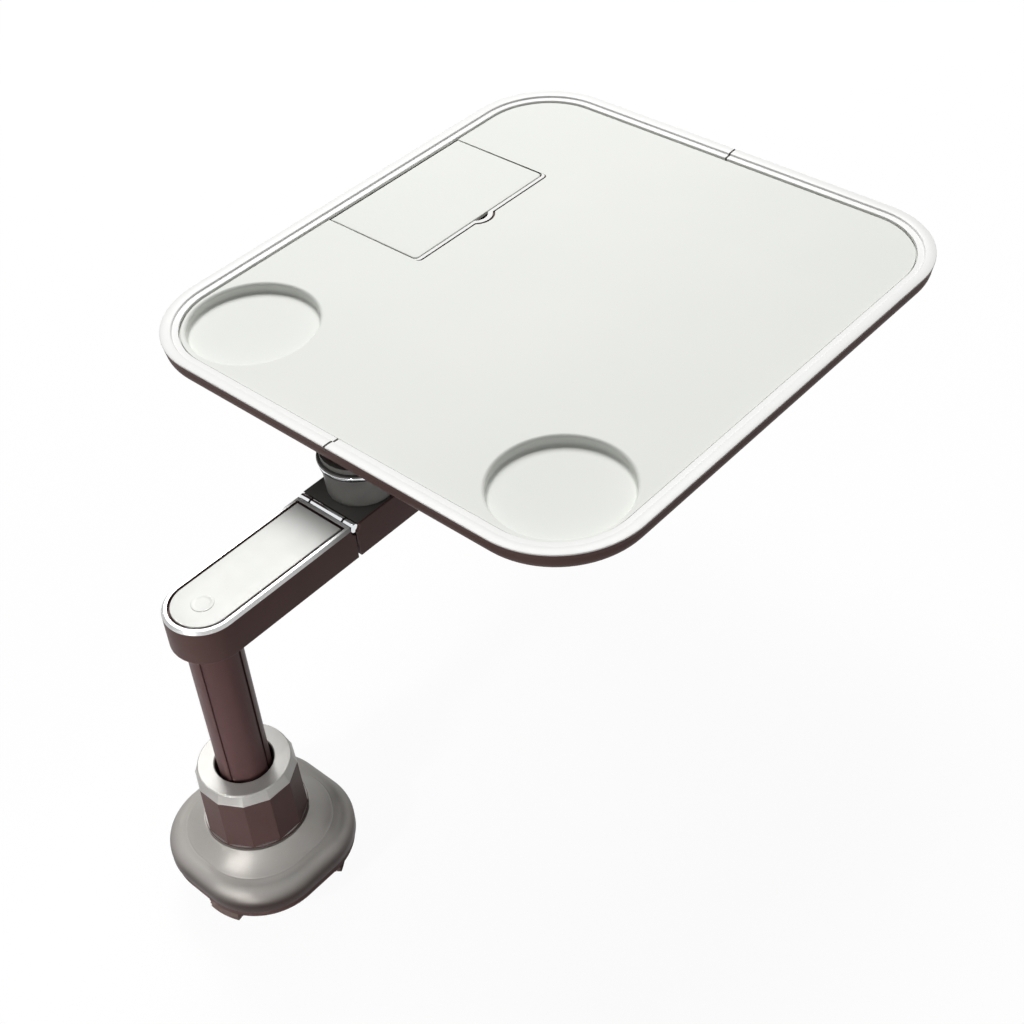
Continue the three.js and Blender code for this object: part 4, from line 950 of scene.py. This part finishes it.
# %% Ribbed pads
PAD_Z, PAD_HALF = (3.9, 17.9), 9.9
PAD_FACE, PAD_BACK = 42.6, 40.5
RIB, PITCH = 0.4, 2.8
LEG_TURNS = (190, 70, -50)
across = PAD_HALF * np.linspace(-1, 1, 25)
z = np.linspace(*PAD_Z, 71)
rib = PAD_FACE + RIB * np.cos(2 * np.pi * (z - PAD_Z[0]) / PITCH)
front = np.sqrt(rib[:, None] ** 2 - across[None] ** 2)
back = np.broadcast_to(np.sqrt(PAD_BACK ** 2 - across ** 2), front.shape)
x = np.hstack([front, back[:, ::-1]])
y = np.broadcast_to(np.r_[across, across[::-1]], x.shape)
for number, turn in enumerate(np.radians(LEG_TURNS), 1):
    flat = np.stack([x * np.cos(turn) - y * np.sin(turn), x * np.sin(turn) + y * np.cos(turn)], -1)
    make_piece(f"grip_pad_{number}", skin(raised(flat, z)), f"leg_{number}", [pad_rubber],
               (f"leg_pad_{number}",))

# %% [markdown]
# ## Screws
# The underside shows screws with domed heads and a cross for the driver. The cross could be cut into
# each head. Here the inner rings of the head follow the cross instead of a circle, so one grid makes
# the whole screw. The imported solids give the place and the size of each.

# %% Cross-head screws
CROSS_REACH, CROSS_HALF = 0.55, 0.13


def cross_screw(node, head_height, shank):
    """A screw with its head down: rings about its axis, with a cross of half-width 0.13 R and reach 0.55 R.

    In a direction a from the nearest arm the cross ends at min(0.55 R / cos a, 0.13 R / sin a).
    """
    low, high = [np.array(corner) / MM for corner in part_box(node)]
    centre, head = (low + high) / 2, (high[0] - low[0]) / 2
    a = np.linspace(0, 2 * np.pi, 64, endpoint=False)
    near = np.abs((a + np.pi / 4) % (np.pi / 2) - np.pi / 4)
    cross = head * np.minimum(CROSS_REACH / np.cos(near), CROSS_HALF / np.maximum(np.sin(near), 1e-6))
    dome = head * np.array([0.6, 0.75, 0.88, 0.97, 1.0, 1.0])
    lift = np.array([0.05, 0.1, 0.2, 0.35, 0.55, 1.0])
    r = np.vstack([0 * a, 0.8 * cross, cross, dome[:, None] + 0 * a, shank + 0 * a, shank + 0 * a, 0 * a])
    z = low[2] + np.r_[0.7 * head_height, 0.6 * head_height, 0.03, lift * head_height, head_height,
                       high[2] - low[2], high[2] - low[2]]
    return skin(raised(np.stack([centre[0] + r * np.cos(a), centre[1] + r * np.sin(a)], -1), z))


for name, body, count, head_height, shank in (("foot_screw", "base", 3, 1.8, 1.5),
                                              ("pan_screw", "tray", 4, 1.5, 1.3),
                                              ("hub_screw", "tray", 4, 1.5, 1.3)):
    nodes = [f"{name}_{k}" for k in range(1, count + 1)]
    screws = joined(*[cross_screw(node, head_height, shank) for node in nodes])
    make_piece(name + "_heads", screws, body, [steel], nodes)

# %% [markdown]
# ## Floor
# A pale floor carries the soft shadow. To the camera, in reflections and through clear things it is
# mostly white, so the shadow stays faint, as in the photograph. To other rays it is a dull brown, so it
# throws little light up at the tray. A shadow catcher would hide the floor, but then the shadow would
# need a picture behind it. The lower side is clear, so that the tray can be looked at from below too.

# %% Floor
FLOOR_REACH, FLOOR_Z = 4.0, -0.0005
FLOOR_GLOW = 0.95
ground = bpy.data.meshes.new("floor")
ground.from_pydata([(-FLOOR_REACH, -FLOOR_REACH, FLOOR_Z), (FLOOR_REACH, -FLOOR_REACH, FLOOR_Z),
                    (FLOOR_REACH, FLOOR_REACH, FLOOR_Z), (-FLOOR_REACH, FLOOR_REACH, FLOOR_Z)],
                   [], [(0, 1, 2, 3)])
# White background paper: dull and even, with nothing to see but the shadow.
paper = bpy.data.materials.new("white_paper")
tree = empty_tree(paper)
seen = sight(tree)
tone = add(tree, "Mix", {SHARE: seen, FIRST: colour("#5E4E4A"), SECOND: colour("#FCFCFC")}, data_type="RGBA")
lit = add(tree, "BsdfDiffuse", {"Color": tone.outputs[MIXED]})
glow = add(tree, "Emission", {"Color": WHITE, "Strength": 1.0})
glowing = add(tree, "Math", {0: seen, 1: FLOOR_GLOW}, operation="MULTIPLY")
upper = add(tree, "MixShader", {0: glowing.outputs[0], 1: lit.outputs[0], 2: glow.outputs[0]})
side = add(tree, "NewGeometry")
clear = add(tree, "BsdfTransparent")
both = add(tree, "MixShader", {0: side.outputs["Backfacing"], 1: upper.outputs[0], 2: clear.outputs[0]})
add(tree, "OutputMaterial", {"Surface": both.outputs[0]})
ground.materials.append(paper)
floor = bpy.data.objects.new("floor", ground)
scene.collection.objects.link(floor)
print("floor", 2 * FLOOR_REACH, "m wide")
